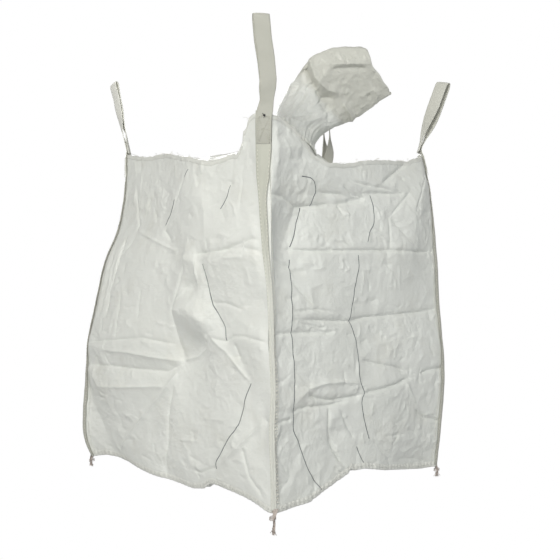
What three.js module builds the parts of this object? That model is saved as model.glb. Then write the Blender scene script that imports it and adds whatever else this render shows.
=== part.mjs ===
import * as THREE from 'three';

// Empty four-loop bulk bag, hung by its lifting loops. Millimetres, +Z up.
// The origin is the centre of the underside of the base panel. The front left
// wall faces -Y, the front right wall faces +X, and the front corner is +X -Y.

// ---- driving dimensions ----
const RIM = 1096; // height of the side walls at the corners
const FABRIC = 2; // wall thickness, coated fabric with its turned edge
const CHAMFER = 25; // flat run of each wall behind a corner belt
const SEAM_GAP = 0.5; // between two walls behind a belt
const WEB_W = 46; // webbing width
const WEB_T = 2.6; // webbing thickness
const BELT_OFF = FABRIC / 2 + 0.7 + WEB_T / 2; // belt centre outside the corner line
const BELT_Z = [14, 1098];
const SEAM_T = 3; // raised sewing line down each corner belt
const LOOP_HINGE_Z = 1106;
const LOOP_H = 264; // loop height above its hinge
const HEM_H = 16;
const HEM_T = 2;
const COLLAR = { x: 214, y: -69, z: 1090, lateral: 100, depth: 138 };
const SPOUT_T = 2;
const TAIL = { front: 58, right: 34, left: 30, back: 40 };

// ---- corner lines of the hung bag: height, x, y ----
const S = Math.SQRT1_2;
const CORNERS = {
  left: { out: [-S, -S], run: [S, -S], line: [[0, -486, -410], [61, -505, -429], [188, -510, -434], [280, -505, -429], [425, -497, -421], [571, -477, -400], [717, -454, -377], [826, -423, -346], [917, -410, -333], [1000, -403, -326], [1110, -400, -323]] },
  front: { out: [S, -S], run: [S, S], line: [[0, 404, -374], [123, 402, -376], [232, 400, -378], [314, 402, -376], [450, 398, -380], [587, 396, -382], [723, 391, -388], [859, 387, -392], [1000, 385, -394], [1110, 385, -394]] },
  right: { out: [S, S], run: [-S, S], line: [[0, 449, 357], [122, 454, 373], [190, 456, 382], [346, 455, 397], [433, 447, 397], [573, 433, 399], [714, 423, 403], [857, 408, 402], [965, 393, 399], [1000, 387, 397], [1110, 367, 386]] },
  back: { out: [-S, S], run: [-S, -S], line: [[0, -378, 430], [200, -382, 450], [400, -362, 475], [600, -327, 499], [800, -277, 519], [1000, -230, 531], [1110, -203, 537]] },
};
const at = (rows, z) => {
  const k = Math.max(1, rows.findIndex((r) => r[0] >= z) === -1 ? rows.length - 1 : rows.findIndex((r) => r[0] >= z));
  const [a, b] = [rows[k - 1], rows[k]];
  const t = (z - a[0]) / (b[0] - a[0]);
  return a.slice(1).map((v, i) => v + (b[i + 1] - v) * t);
};

// ---- the four walls, anticlockwise from above: the sag of the top edge and the lift of the bottom edge, by share of the run ----
const WALLS = {
  front_left: { from: 'left', to: 'front', sag: [[0, 0], [0.09, 12], [0.17, 26], [0.3, 33], [0.42, 46], [0.56, 73], [0.71, 103], [0.79, 101], [0.86, 91], [0.9, 62], [0.93, 11], [0.96, 0], [1, 0]], lift: [[0, 0], [0.1, 14], [0.22, 12], [0.34, 3], [0.44, 0], [0.6, 0], [0.652, 3], [0.69, 24], [0.82, 20], [0.92, 11], [1, 0]] },
  front_right: { from: 'front', to: 'right', sag: [[0, 0], [0.05, 4], [0.11, 14], [0.17, 40], [0.23, 84], [0.27, 96], [0.32, 105], [0.38, 102], [0.455, 91], [0.54, 76], [0.656, 62], [0.79, 52], [0.9, 31], [0.95, 18], [1, 0]], lift: [[0, 0], [0.115, 2], [0.194, 4], [0.27, 22], [0.33, 37], [0.4, 56], [0.43, 61], [0.492, 60], [0.62, 36], [0.77, 16], [0.89, 3], [1, 0]] },
  back_right: { from: 'right', to: 'back', sag: [[0, 0], [0.15, 42], [0.35, 72], [0.5, 80], [0.7, 62], [0.88, 30], [1, 0]], lift: [[0, 0], [0.5, 24], [1, 0]] },
  back_left: { from: 'back', to: 'left', sag: [[0, 0], [0.12, 34], [0.3, 66], [0.5, 78], [0.7, 64], [0.88, 34], [1, 0]], lift: [[0, 0], [0.5, 16], [1, 0]] },
};
const WALL_NU = 18;
const WALL_NV = 10;
const LOW = 4; // bottom edge of the walls above the base plane
// every piece on a corner bends at the same heights, so that they stay parallel
const LEVELS = Array.from({ length: WALL_NV + 1 }, (_, i) => LOW + ((RIM - LOW) * i) / WALL_NV);
for (const c of Object.values(CORNERS)) c.line = [0, ...LEVELS, 1110].map((z) => [z, ...at(c.line, z)]);

// A point of a wall: u runs along it, v from the bottom edge to the top edge.
function wallPoint(wall, u, v, low = LOW) {
  const A = CORNERS[wall.from];
  const B = CORNERS[wall.to];
  const edge = 1 / WALL_NU;
  const m = Math.min(1, Math.max(0, (u - edge) / (1 - 2 * edge)));
  const zb = low + at(wall.lift, m)[0];
  const zt = RIM - at(wall.sag, m)[0];
  const z = zb + (zt - zb) * v;
  const a = at(A.line, z);
  const b = at(B.line, z);
  const p = (c, k, side) => [c[0] + k.run[0] * side, c[1] + k.run[1] * side];
  const a0 = p(a, A, SEAM_GAP);
  const a1 = p(a, A, CHAMFER);
  const b1 = p(b, B, -CHAMFER);
  const b0 = p(b, B, -SEAM_GAP);
  const mix = (q, r, t) => [q[0] + (r[0] - q[0]) * t, q[1] + (r[1] - q[1]) * t];
  const xy = u <= edge ? mix(a0, a1, u / edge) : u >= 1 - edge ? mix(b1, b0, (u - 1 + edge) / edge) : mix(a1, b1, m);
  return new THREE.Vector3(xy[0], xy[1], z);
}
function normalOf(f, u, v, h = 0.004) {
  const c = (x) => Math.min(1, Math.max(0, x));
  const du = f(c(u + h), v).sub(f(c(u - h), v));
  const dv = f(u, c(v + h)).sub(f(u, c(v - h)));
  return du.cross(dv).normalize();
}
// Moves every vertex of a geometry and keeps its faces pointing out.
function shape(geometry, place) {
  const g = geometry;
  const pos = g.attributes.position;
  const q = new THREE.Vector3();
  for (let i = 0; i < pos.count; i++) {
    q.fromBufferAttribute(pos, i);
    const r = place(q.x, q.y, q.z);
    pos.setXYZ(i, r.x, r.y, r.z);
  }
  g.deleteAttribute('normal');
  g.deleteAttribute('uv');
  const ix = g.index ? g.index.array : null;
  const n = ix ? ix.length : pos.count;
  let volume = 0;
  const [a, b, c] = [new THREE.Vector3(), new THREE.Vector3(), new THREE.Vector3()];
  const id = (k) => (ix ? ix[k] : k);
  for (let k = 0; k < n; k += 3) {
    a.fromBufferAttribute(pos, id(k));
    b.fromBufferAttribute(pos, id(k + 1));
    c.fromBufferAttribute(pos, id(k + 2));
    volume += a.dot(b.clone().cross(c));
  }
  if (volume < 0) {
    for (let k = 0; k < n; k += 3) {
      if (ix) [ix[k], ix[k + 1]] = [ix[k + 1], ix[k]];
      else {
        a.fromBufferAttribute(pos, k);
        b.fromBufferAttribute(pos, k + 1);
        pos.setXYZ(k, b.x, b.y, b.z);
        pos.setXYZ(k + 1, a.x, a.y, a.z);
      }
    }
  }
  return g;
}
const skin = (f, nu, nv, t, offset = 0) =>
  shape(new THREE.BoxGeometry(1, 1, 1, nu, nv, 1), (x, y, z) => {
    const [u, v] = [x + 0.5, y + 0.5];
    return f(u, v).addScaledVector(normalOf(f, u, v), offset + z * t);
  });

// ---- materials ----
const woven = (color, roughness) => new THREE.MeshStandardMaterial({ color, roughness, metalness: 0 });
const MAT = {
  fabric: woven(0xdadcd6, 0.42),
  lining: woven(0xd2d3cc, 0.38),
  webbing: woven(0xc6c5b4, 0.8),
  thread: woven(0xe6e5dc, 0.7),
  tail: woven(0xc2b8ae, 0.85),
  knot: woven(0x24242a, 0.6),
};
const bag = new THREE.Group();
const add = (name, geometry, material) => {
  const mesh = new THREE.Mesh(geometry, material);
  mesh.name = name;
  bag.add(mesh);
  return mesh;
};

// ---- side walls ----
for (const [name, wall] of Object.entries(WALLS)) {
  add(`wall_${name}`, skin((u, v) => wallPoint(wall, u, v), WALL_NU, WALL_NV, FABRIC), MAT.fabric);
}

// hems start clear of the corner belts and bend where the walls bend
const HEM_N = WALL_NU - 2;
const hemShare = (u) => {
  const i = u * HEM_N;
  const k = Math.floor(i);
  const stop = (j) => (j <= 0 ? 1.6 : j >= HEM_N ? WALL_NU - 1.6 : j + 1);
  return (stop(k) + (stop(k + 1) - stop(k)) * (i - k)) / WALL_NU;
};

// ---- rim hems: the turned edge outside each wall's top ----
for (const [name, wall] of Object.entries(WALLS)) {
  const f = (u, v) => {
    const uu = hemShare(u);
    const top = wallPoint(wall, uu, 1);
    const low = wallPoint(wall, uu, 0.97);
    const d = top.clone().sub(low).normalize();
    return top.addScaledVector(d, -2 - HEM_H * (1 - v));
  };
  add(`rim_hem_${name}`, skin(f, HEM_N, 1, HEM_T, FABRIC / 2 + 0.8 + HEM_T / 2), MAT.thread);
}

// ---- corner belts, their sewing lines and the loops' stitching ----
const beltPoint = (c, w, z, off) => {
  const [x, y] = at(c.line, z);
  return new THREE.Vector3(x + c.out[0] * off + c.run[0] * w, y + c.out[1] * off + c.run[1] * w, z);
};
const rise = (first, last) => [first, ...LEVELS.filter((z) => z > first + 8 && z < last - 8), last];
const along = (stops, s) => stops[Math.round((s + 0.5) * (stops.length - 1))];
const BELT_STOPS = rise(BELT_Z[0], BELT_Z[1]);
const SEAM_STOPS = rise(18, LEVELS[WALL_NV - 1]);
for (const [name, c] of Object.entries(CORNERS)) {
  add(
    `corner_belt_${name}`,
    shape(new THREE.BoxGeometry(WEB_W, WEB_T, 1, 1, 1, BELT_STOPS.length - 1), (x, y, z) => beltPoint(c, x, along(BELT_STOPS, z), BELT_OFF + y)),
    MAT.webbing,
  );
  const off = BELT_OFF + WEB_T / 2 + 0.7 + SEAM_T / 2;
  add(
    `corner_seam_${name}`,
    shape(new THREE.BoxGeometry(SEAM_T, SEAM_T, 1, 1, 1, SEAM_STOPS.length - 1), (x, y, z) => beltPoint(c, x + 8, along(SEAM_STOPS, z), off + y)),
    MAT.thread,
  );
  // box stitch: a frame with a cross, as one raised thread pattern
  const frame = new THREE.Shape([[-17, 1012], [17, 1012], [17, 1082], [-17, 1082]].map(([x, y]) => new THREE.Vector2(x, y)));
  const t = 1.6;
  const [x0, x1, y0, y1] = [-17 + t, 17 - t, 1012 + t, 1082 - t];
  const k = 2.4;
  const holes = [
    [[x0 + k, y0], [x1 - k, y0], [0, (y0 + y1) / 2 - 2 * k]],
    [[x1, y0 + 2 * k], [x1, y1 - 2 * k], [k, (y0 + y1) / 2]],
    [[x1 - k, y1], [x0 + k, y1], [0, (y0 + y1) / 2 + 2 * k]],
    [[x0, y1 - 2 * k], [x0, y0 + 2 * k], [-k, (y0 + y1) / 2]],
  ];
  for (const h of holes) frame.holes.push(new THREE.Path([...h].reverse().map(([x, y]) => new THREE.Vector2(x, y))));
  const stitch = new THREE.ExtrudeGeometry(frame, { depth: 1.2, bevelEnabled: false });
  add(`loop_stitch_${name}`, shape(stitch, (x, y, z) => beltPoint(c, x, y, BELT_OFF + WEB_T / 2 + 0.6 + z)), MAT.thread);
}

// ---- lifting loops: a closed band of webbing, both legs sewn at the corner ----
// a: outwards from the hinge line, h: height above it
const LOOP_PATH = [[0, 3], [1.2, 22], [9, 70], [11.5, 120], [12.5, LOOP_H - 60], [12, LOOP_H - 22], [8.5, LOOP_H - 5], [-8.5, LOOP_H - 5], [-14, LOOP_H - 22], [-15.5, LOOP_H - 60], [-14.5, 120], [-12, 70], [-6.5, 22], [-5.2, 3]];
const LOOPS = {
  front: { lean: 1, twist: 8 },
  left: { lean: 12, twist: 0 },
  right: { lean: 20, twist: 52 },
  back: { lean: 2, twist: 82 },
};
const loopTops = {};
for (const [name, spec] of Object.entries(LOOPS)) {
  const c = CORNERS[name];
  const [bx, by] = at(c.line, 1100);
  const lean = THREE.MathUtils.degToRad(spec.lean);
  const twist = THREE.MathUtils.degToRad(spec.twist);
  const n = LOOP_PATH.length;
  const place = (a, h, w) => {
    // twist about the loop's own middle, then lean outwards about the hinge line
    const s = Math.min(1, Math.max(0, (h - 14) / (0.62 * LOOP_H)));
    const phi = twist * s * s * (3 - 2 * s);
    const [ca, ma] = [a + 1.5, -1.5];
    const ta = ma + ca * Math.cos(phi) - w * Math.sin(phi);
    const tw = ca * Math.sin(phi) + w * Math.cos(phi);
    const la = ta * Math.cos(lean) + h * Math.sin(lean);
    const lh = -ta * Math.sin(lean) + h * Math.cos(lean);
    const off = BELT_OFF + la;
    return new THREE.Vector3(bx + c.out[0] * off + c.run[0] * tw, by + c.out[1] * off + c.run[1] * tw, LOOP_HINGE_Z + lh);
  };
  // mitred sides of the band, from the outer leg's foot over the top to the inner leg's foot
  const sides = LOOP_PATH.map(([a, h], i) => {
    const p = LOOP_PATH[Math.max(0, i - 1)];
    const q = LOOP_PATH[Math.min(n - 1, i + 1)];
    const here = [a, h];
    const d1 = i > 0 ? [here[0] - p[0], here[1] - p[1]] : [q[0] - here[0], q[1] - here[1]];
    const d2 = i < n - 1 ? [q[0] - here[0], q[1] - here[1]] : d1;
    const u1 = [d1[0] / Math.hypot(...d1), d1[1] / Math.hypot(...d1)];
    const u2 = [d2[0] / Math.hypot(...d2), d2[1] / Math.hypot(...d2)];
    const n1 = [u1[1], -u1[0]];
    const n2 = [u2[1], -u2[0]];
    const m = [n1[0] + n2[0], n1[1] + n2[1]];
    const k = WEB_T / (1 + n1[0] * n2[0] + n1[1] * n2[1]) / 1;
    return [m[0] * k * 0.5, m[1] * k * 0.5];
  });
  const band = new THREE.BoxGeometry(1, 1, 1, n - 1, 1, 2);
  add(
    `lifting_loop_${name}`,
    shape(band, (x, y, z) => {
      const i = Math.round((x + 0.5) * (n - 1));
      const [a, h] = LOOP_PATH[i];
      const s = sides[i];
      return place(a + s[0] * y * 2, h + s[1] * y * 2, z * WEB_W);
    }),
    MAT.webbing,
  );
  const inner = sides[6];
  const q1 = place(LOOP_PATH[6][0] - inner[0], LOOP_PATH[6][1] - inner[1], 0);
  const q2 = place(LOOP_PATH[7][0] - sides[7][0], LOOP_PATH[7][1] - sides[7][1], 0);
  loopTops[name] = { pos: q1.add(q2).multiplyScalar(0.5).toArray(), axis: [-c.out[0] * Math.sin(lean), -c.out[1] * Math.sin(lean), -Math.cos(lean)], hinge: [bx + c.out[0] * BELT_OFF, by + c.out[1] * BELT_OFF, LOOP_HINGE_Z] };
}

// ---- small dark thread knot at the foot of the front loop ----
{
  const c = CORNERS.front;
  const p = beltPoint(c, 1, 1086.4, BELT_OFF + WEB_T / 2 + 2.9);
  add('loop_thread_knot', shape(new THREE.SphereGeometry(2.2, 10, 6), (x, y, z) => new THREE.Vector3(p.x + x, p.y + y, p.z + z)), MAT.knot);
}

// ---- top panel with the filling hole, and the collar's sewn ring ----
const TOP_SEG = 48;
const LAT = [S, S]; // along the lateral axis of the collar
const DEP = [-S, S]; // along its depth axis
const rimInside = (() => {
  // the inner outline of the rim, anticlockwise, as points with the wall's top height
  const out = [];
  for (const wall of Object.values(WALLS)) {
    for (let i = 0; i <= 36; i++) {
      const u = i / 36;
      if (u < 0.03 || u > 0.97) continue;
      const f = (a, b) => wallPoint(wall, a, b);
      out.push(f(u, 1).addScaledVector(normalOf(f, u, 0.98), -(FABRIC / 2 + 2.2)));
    }
  }
  return out;
})();
const rimAt = (angle) => {
  // where a ray from the collar's centre leaves the rim
  const d = [Math.cos(angle), Math.sin(angle)];
  for (let i = 0; i < rimInside.length; i++) {
    const a = rimInside[i];
    const b = rimInside[(i + 1) % rimInside.length];
    const [ax, ay, bx, by] = [a.x - COLLAR.x, a.y - COLLAR.y, b.x - COLLAR.x, b.y - COLLAR.y];
    const ca = d[0] * ay - d[1] * ax;
    const cb = d[0] * by - d[1] * bx;
    if (ca <= 0 && cb > 0) {
      const t = ca / (ca - cb);
      return new THREE.Vector3(a.x + (b.x - a.x) * t, a.y + (b.y - a.y) * t, a.z + (b.z - a.z) * t);
    }
  }
  throw new Error('no rim');
};
const collarAt = (angle, grow) => {
  const d = [Math.cos(angle), Math.sin(angle)];
  const l = d[0] * LAT[0] + d[1] * LAT[1];
  const e = d[0] * DEP[0] + d[1] * DEP[1];
  const r = 1 / Math.hypot(l / (COLLAR.lateral + grow), e / (COLLAR.depth + grow));
  return new THREE.Vector3(COLLAR.x + d[0] * r, COLLAR.y + d[1] * r, COLLAR.z);
};
{
  const rings = 6;
  const topPoint = (angle, r) => {
    const a = collarAt(angle, 8);
    const b = rimAt(angle);
    b.z -= 6;
    const p = a.clone().lerp(b, r);
    const span = Math.hypot(b.x - a.x, b.y - a.y);
    p.z = a.z - 8 + (b.z - a.z + 8) * r - 0.16 * span * 4 * r * (1 - r) * 0.55;
    return p;
  };
  const profile = [];
  for (let i = 0; i <= rings; i++) profile.push(new THREE.Vector2(1 + i / rings, 0));
  for (let i = rings; i >= 0; i--) profile.push(new THREE.Vector2(1 + i / rings, 1));
  profile.push(new THREE.Vector2(1, 0));
  add(
    'top_panel',
    shape(new THREE.LatheGeometry(profile, TOP_SEG), (x, y, z) => {
      const r = Math.hypot(x, z) - 1;
      const p = topPoint(Math.atan2(z, x), Math.min(1, Math.max(0, r)));
      p.z += (y - 1) * FABRIC;
      return p;
    }),
    MAT.lining,
  );
  const ring = [[0, 0], [4, 0], [4, 7], [0, 7], [0, 0]].map(([x, y]) => new THREE.Vector2(10 + x, y));
  add(
    'spout_collar_seam',
    shape(new THREE.LatheGeometry(ring, TOP_SEG), (x, y, z) => {
      const p = collarAt(Math.atan2(z, x), Math.hypot(x, z) - 10 + 2.4);
      p.z += y - 6.5 + 0;
      return p;
    }),
    MAT.thread,
  );
}

// ---- filling spout: a limp tube. The neck stands on the collar and bends over to the right, where the sleeve flops ----
// centre (lateral, depth, height from the collar), axis direction in the lateral-height plane, half width, half thickness
const lat = (l, e, z) => new THREE.Vector3(COLLAR.x + LAT[0] * l + DEP[0] * e, COLLAR.y + LAT[1] * l + DEP[1] * e, COLLAR.z + z);
const SPOUT = [
  { c: [0, 0, -2], tilt: 0, a: 98, b: 136 },
  { c: [-2, 0, 34], tilt: 14, a: 90, b: 112 },
  { c: [4, 0, 64], tilt: 29, a: 84, b: 84 },
  { c: [38, 0, 114], tilt: 42, a: 95, b: 58 },
  { c: [74, 0, 148], tilt: 47, a: 104, b: 46 },
  { c: [77, 0, 151], tilt: 47, a: 104, b: 45 },
  { c: [123, 0, 186], tilt: 48, a: 114, b: 40 },
  { c: [171, 0, 212], tilt: 48.5, a: 108, b: 36 },
  { c: [214, 0, 228], tilt: 48, a: 97, b: 33 },
  { c: [250, 0, 236], tilt: 52, a: 84, b: 30 },
];
function tube(rows, segments) {
  const n = rows.length;
  const profile = [];
  for (let i = 0; i < n; i++) profile.push(new THREE.Vector2(2, i));
  for (let i = n - 1; i >= 0; i--) profile.push(new THREE.Vector2(1, i));
  profile.push(new THREE.Vector2(2, 0));
  return shape(new THREE.LatheGeometry(profile, segments), (x, y, z) => {
    const row = rows[Math.round(y)];
    const t = THREE.MathUtils.degToRad(row.tilt);
    const wall = Math.hypot(x, z) > 1.5 ? 0 : SPOUT_T;
    const th = Math.atan2(z, x);
    const w = Math.cos(th) * (row.a - wall);
    const e = Math.sin(th) * (row.b - wall);
    return lat(row.c[0] + w * Math.cos(t), row.c[1] + e, row.c[2] - w * Math.sin(t));
  });
}
add('spout_neck', tube(SPOUT.slice(0, 5), 24), MAT.lining);
add('spout_sleeve', tube(SPOUT.slice(5), 24), MAT.lining);

// ---- base panel, its sewn edges and the tied-off corner tails ----
const BASE_N = 16;
const wallList = Object.values(WALLS);
const edgeAt = (k, m, drop = 0) => {
  // bottom edge of wall k, clear inside it
  const u = 1 / WALL_NU + m * (1 - 2 / WALL_NU);
  const p = wallPoint(wallList[k], u, 0, 0);
  p.z += drop;
  return p;
};
const basePoint = (u, v) => {
  const f = edgeAt(0, u); // left to front
  const r = edgeAt(1, v); // front to right
  const b = edgeAt(2, 1 - u); // right to back, run backwards
  const l = edgeAt(3, 1 - v); // back to left, run backwards
  const [c00, c10, c11, c01] = [edgeAt(0, 0), edgeAt(0, 1), edgeAt(2, 0), edgeAt(2, 1)];
  const p = new THREE.Vector3();
  for (const k of ['x', 'y', 'z']) {
    p[k] = (1 - v) * f[k] + v * b[k] + (1 - u) * l[k] + u * r[k] - ((1 - u) * (1 - v) * c00[k] + u * (1 - v) * c10[k] + u * v * c11[k] + (1 - u) * v * c01[k]);
  }
  const rim = Math.min(u, v, 1 - u, 1 - v);
  p.z = rim < 0.02 ? p.z : rim < 0.13 ? p.z * (0.13 - rim) / 0.13 : 0;
  return p;
};
add(
  'base_panel',
  shape(new THREE.BoxGeometry(1, 1, 1, BASE_N, BASE_N, 1), (x, y, z) => {
    const p = basePoint(x + 0.5, y + 0.5);
    p.z += z + 0.5 > 0.5 ? FABRIC : 0;
    return p;
  }),
  MAT.fabric,
);
for (const [name, wall] of Object.entries(WALLS)) {
  const f = (u, v) => {
    const uu = hemShare(u);
    const p = wallPoint(wall, uu, 0, 0);
    const q = wallPoint(wall, uu, 0.03, 0);
    return p.addScaledVector(q.sub(p).normalize(), 1 + v * 20);
  };
  add(`base_seam_${name}`, skin(f, HEM_N, 1, HEM_T, FABRIC / 2 + 0.8 + HEM_T / 2), MAT.thread);
}
for (const [name, length] of Object.entries(TAIL)) {
  const c = CORNERS[name];
  add(
    `corner_tail_${name}`,
    shape(new THREE.CylinderGeometry(6, 3.2, 1, 8, 5), (x, y, z) => {
      const s = 0.5 - y; // 0 at the top
      const p = beltPoint(c, 0, 0, BELT_OFF - 2);
      const turn = s * 2.4;
      const [a, b] = [x * 1.25, z * 0.7];
      return new THREE.Vector3(p.x + a * Math.cos(turn) - b * Math.sin(turn) + c.out[0] * s * 6, p.y + a * Math.sin(turn) + b * Math.cos(turn) + c.out[1] * s * 6, -1 - s * length);
    }),
    MAT.tail,
  );
}

export default bag;
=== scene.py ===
import bpy, math
import numpy as np
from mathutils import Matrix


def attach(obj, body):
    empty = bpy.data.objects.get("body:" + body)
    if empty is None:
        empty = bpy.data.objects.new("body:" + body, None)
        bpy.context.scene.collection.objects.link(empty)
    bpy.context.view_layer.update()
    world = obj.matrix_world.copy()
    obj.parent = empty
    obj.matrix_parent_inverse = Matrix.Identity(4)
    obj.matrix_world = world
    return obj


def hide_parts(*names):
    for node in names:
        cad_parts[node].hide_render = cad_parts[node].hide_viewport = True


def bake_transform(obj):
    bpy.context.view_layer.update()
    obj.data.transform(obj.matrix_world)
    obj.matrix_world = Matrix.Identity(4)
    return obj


# Empty bulk bag hung by its four loops. Metres, in the frame's axes: the front
# left wall faces -Y, the front right wall faces +X.

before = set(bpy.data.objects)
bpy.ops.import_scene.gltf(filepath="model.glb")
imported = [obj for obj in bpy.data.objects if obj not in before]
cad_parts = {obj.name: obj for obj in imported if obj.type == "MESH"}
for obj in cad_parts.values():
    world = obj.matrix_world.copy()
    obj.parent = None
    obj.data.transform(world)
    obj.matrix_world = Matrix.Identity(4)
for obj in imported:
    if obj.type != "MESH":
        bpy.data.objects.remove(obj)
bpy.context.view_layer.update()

S = math.sqrt(0.5)
RIM, LOW, CHAMFER, STRIP = 1.096, 0.004, 0.025, 0.03
FABRIC_T = 0.0008

# ---------------------------------------------------------------- shape data
# corner lines of the hung bag: height, x, y in millimetres
LINES = {
 'left': [[0,-486,-410],[61,-505,-429],[188,-510,-434],[280,-505,-429],[425,-497,-421],[571,-477,-400],[717,-454,-377],[826,-423,-346],[917,-410,-333],[1000,-403,-326],[1110,-400,-323]],
 'front': [[0,404,-374],[123,402,-376],[232,400,-378],[314,402,-376],[450,398,-380],[587,396,-382],[723,391,-388],[859,387,-392],[1000,385,-394],[1110,385,-394]],
 'right': [[0,449,357],[122,454,373],[190,456,382],[346,455,397],[433,447,397],[573,433,399],[714,423,403],[857,408,402],[965,393,399],[1000,387,397],[1110,367,386]],
 'back': [[0,-378,430],[200,-382,450],[400,-362,475],[600,-327,499],[800,-277,519],[1000,-230,531],[1110,-203,537]]}
OUT = {'left':(-S,-S),'front':(S,-S),'right':(S,S),'back':(-S,S)}
RUN = {'left':(S,-S),'front':(S,S),'right':(-S,S),'back':(-S,-S)}
WALLS = {
 'front_left': ('left','front',
   [(0,0),(.03,1),(.09,12),(.175,26),(.24,32),(.305,33.5),(.364,37),(.42,46),(.48,58),(.56,73),(.594,77),(.65,91),(.71,103),(.738,105),(.794,101),(.838,97),(.867,97),(.877,94),(.891,82),(.901,71),(.906,40),(.921,34),(.926,22),(.931,14),(.938,5),(.96,0),(1,0)],
   [(0,0),(.1,18),(.22,12.5),(.34,2.5),(.44,-4),(.5,-8),(.586,-10),(.652,2.5),(.684,22),(.704,26),(.82,20),(.916,11),(.958,1),(1,0)]),
 'front_right': ('front','right',
   [(0,0),(.05,4),(.11,14),(.17,40),(.23,85),(.269,96),(.296,101),(.324,105),(.38,102),(.455,91),(.54,76),(.656,62),(.788,52),(.834,47),(.902,31),(.949,18.5),(1,0)],
   [(0,0),(.115,2.5),(.194,4),(.27,22.5),(.331,37.5),(.4,56),(.414,69),(.429,61),(.492,60),(.619,36),(.771,16),(.891,2.5),(1,0)]),
 'back_right': ('right','back', [(0,0),(.15,42),(.35,72),(.5,80),(.7,62),(.88,30),(1,0)], [(0,0),(.5,24),(1,0)]),
 'back_left': ('back','left', [(0,0),(.12,34),(.3,66),(.5,78),(.7,64),(.88,34),(1,0)], [(0,0),(.5,16),(1,0)])}
NEXT = {'left':('back_left','front_left'),'front':('front_left','front_right'),'right':('front_right','back_right'),'back':('back_right','back_left')}

# flat facets the wall hangs in: how far each tips up and to the left, and its outline as (share of the run, height)
FL_FACETS = [
    (0.1, [(0.05,1.087),(0.38,1.054),(0.571,1.019),(0.6,0.981),(0.495,0.901),(0.42,0.806),(0.215,0.816),(0.128,0.979)]),
    (-0.35, [(0.601,0.974),(0.431,0.801),(0.475,0.744),(0.508,0.742),(0.552,0.824),(0.574,0.899)]),
    (-0.5, [(0.574,0.899),(0.699,0.889),(0.719,0.74),(0.621,0.72),(0.508,0.742),(0.552,0.824)]),
    (0.25, [(0.698,0.922),(0.829,0.915),(0.873,0.97),(0.975,0.98),(0.975,0.752),(0.935,0.754),(0.801,0.726),(0.721,0.721)]),
    (0.12, [(0.217,0.812),(0.475,0.744),(0.459,0.721),(0.521,0.691),(0.589,0.69),(0.529,0.555),(0.551,0.481),(0.224,0.475),(0.128,0.602),(0.135,0.681),(0.138,0.785)]),
    (-1.5, [(0.601,0.705),(0.664,0.7),(0.667,0.632),(0.589,0.611),(0.529,0.559)]),
    (0.3, [(0.667,0.632),(0.698,0.625),(0.704,0.525),(0.636,0.554),(0.537,0.566),(0.589,0.611)]),
    (-1.9, [(0.541,0.547),(0.636,0.554),(0.711,0.517),(0.708,0.485),(0.688,0.435),(0.65,0.405),(0.598,0.39),(0.576,0.435),(0.551,0.501)]),
    (-0.3, [(0.695,0.693),(0.973,0.698),(0.98,0.636),(0.986,0.477),(0.799,0.467),(0.785,0.499),(0.733,0.574)]),
    (0.2, [(0.884,0.584),(0.989,0.585),(0.986,0.477),(0.792,0.477)]),
    (0.35, [(0.667,0.7),(0.699,0.689),(0.725,0.6),(0.756,0.541),(0.79,0.47),(0.715,0.466),(0.698,0.625)]),
    (-0.3, [(0.791,0.462),(0.821,0.479),(0.985,0.469),(0.984,0.26),(0.951,0.255),(0.895,0.208),(0.89,0.35),(0.85,0.411),(0.828,0.458)]),
    (0.0, [(0.708,0.485),(0.791,0.462),(0.843,0.389),(0.885,0.353),(0.858,0.289),(0.845,0.236),(0.787,0.17),(0.729,0.083),(0.525,0.039),(0.565,0.249),(0.591,0.37),(0.65,0.405),(0.688,0.435)]),
    (-0.5, [(0.532,0.309),(0.565,0.249),(0.516,0.018),(0.446,0.005),(0.497,0.241)]),
    (0.3, [(0.591,0.37),(0.532,0.309),(0.497,0.241),(0.446,0.005),(0.189,0.042),(0.491,0.301)]),
    (-0.7, [(0.059,0.209),(0.004,0.323),(0.198,0.304),(0.491,0.301),(0.189,0.042),(0.133,0.046),(0.131,0.114)]),
    (-0.1, [(0.044,0.423),(0.379,0.454),(0.569,0.439),(0.591,0.389),(0.309,0.403),(0.154,0.401)]),
    (-0.6, [(0.154,0.401),(0.309,0.403),(0.591,0.385),(0.557,0.351),(0.314,0.348),(0.194,0.348)]),
    (0.05, [(0.04,0.34),(0.194,0.348),(0.557,0.351),(0.491,0.301),(0.126,0.27),(0.069,0.324)]),
    (-0.6, [(0.03,0.418),(0.145,0.406),(0.151,0.353),(0.007,0.341)]),
    (0.15, [(0.853,0.172),(0.951,0.254),(0.998,0.221),(0.986,-0.016),(0.916,0.011),(0.884,0.084)]),
    (-0.2, [(0.853,0.172),(0.884,0.084),(0.935,0.04),(0.916,0.011),(0.704,0.026),(0.731,0.079),(0.763,0.102)]),
    (-0.1, [(0.435,-0.004),(0.525,0.039),(0.61,0.054),(0.731,0.079),(0.704,0.026),(0.654,0.004),(0.59,-0.009),(0.499,-0.006)]),
]
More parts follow.
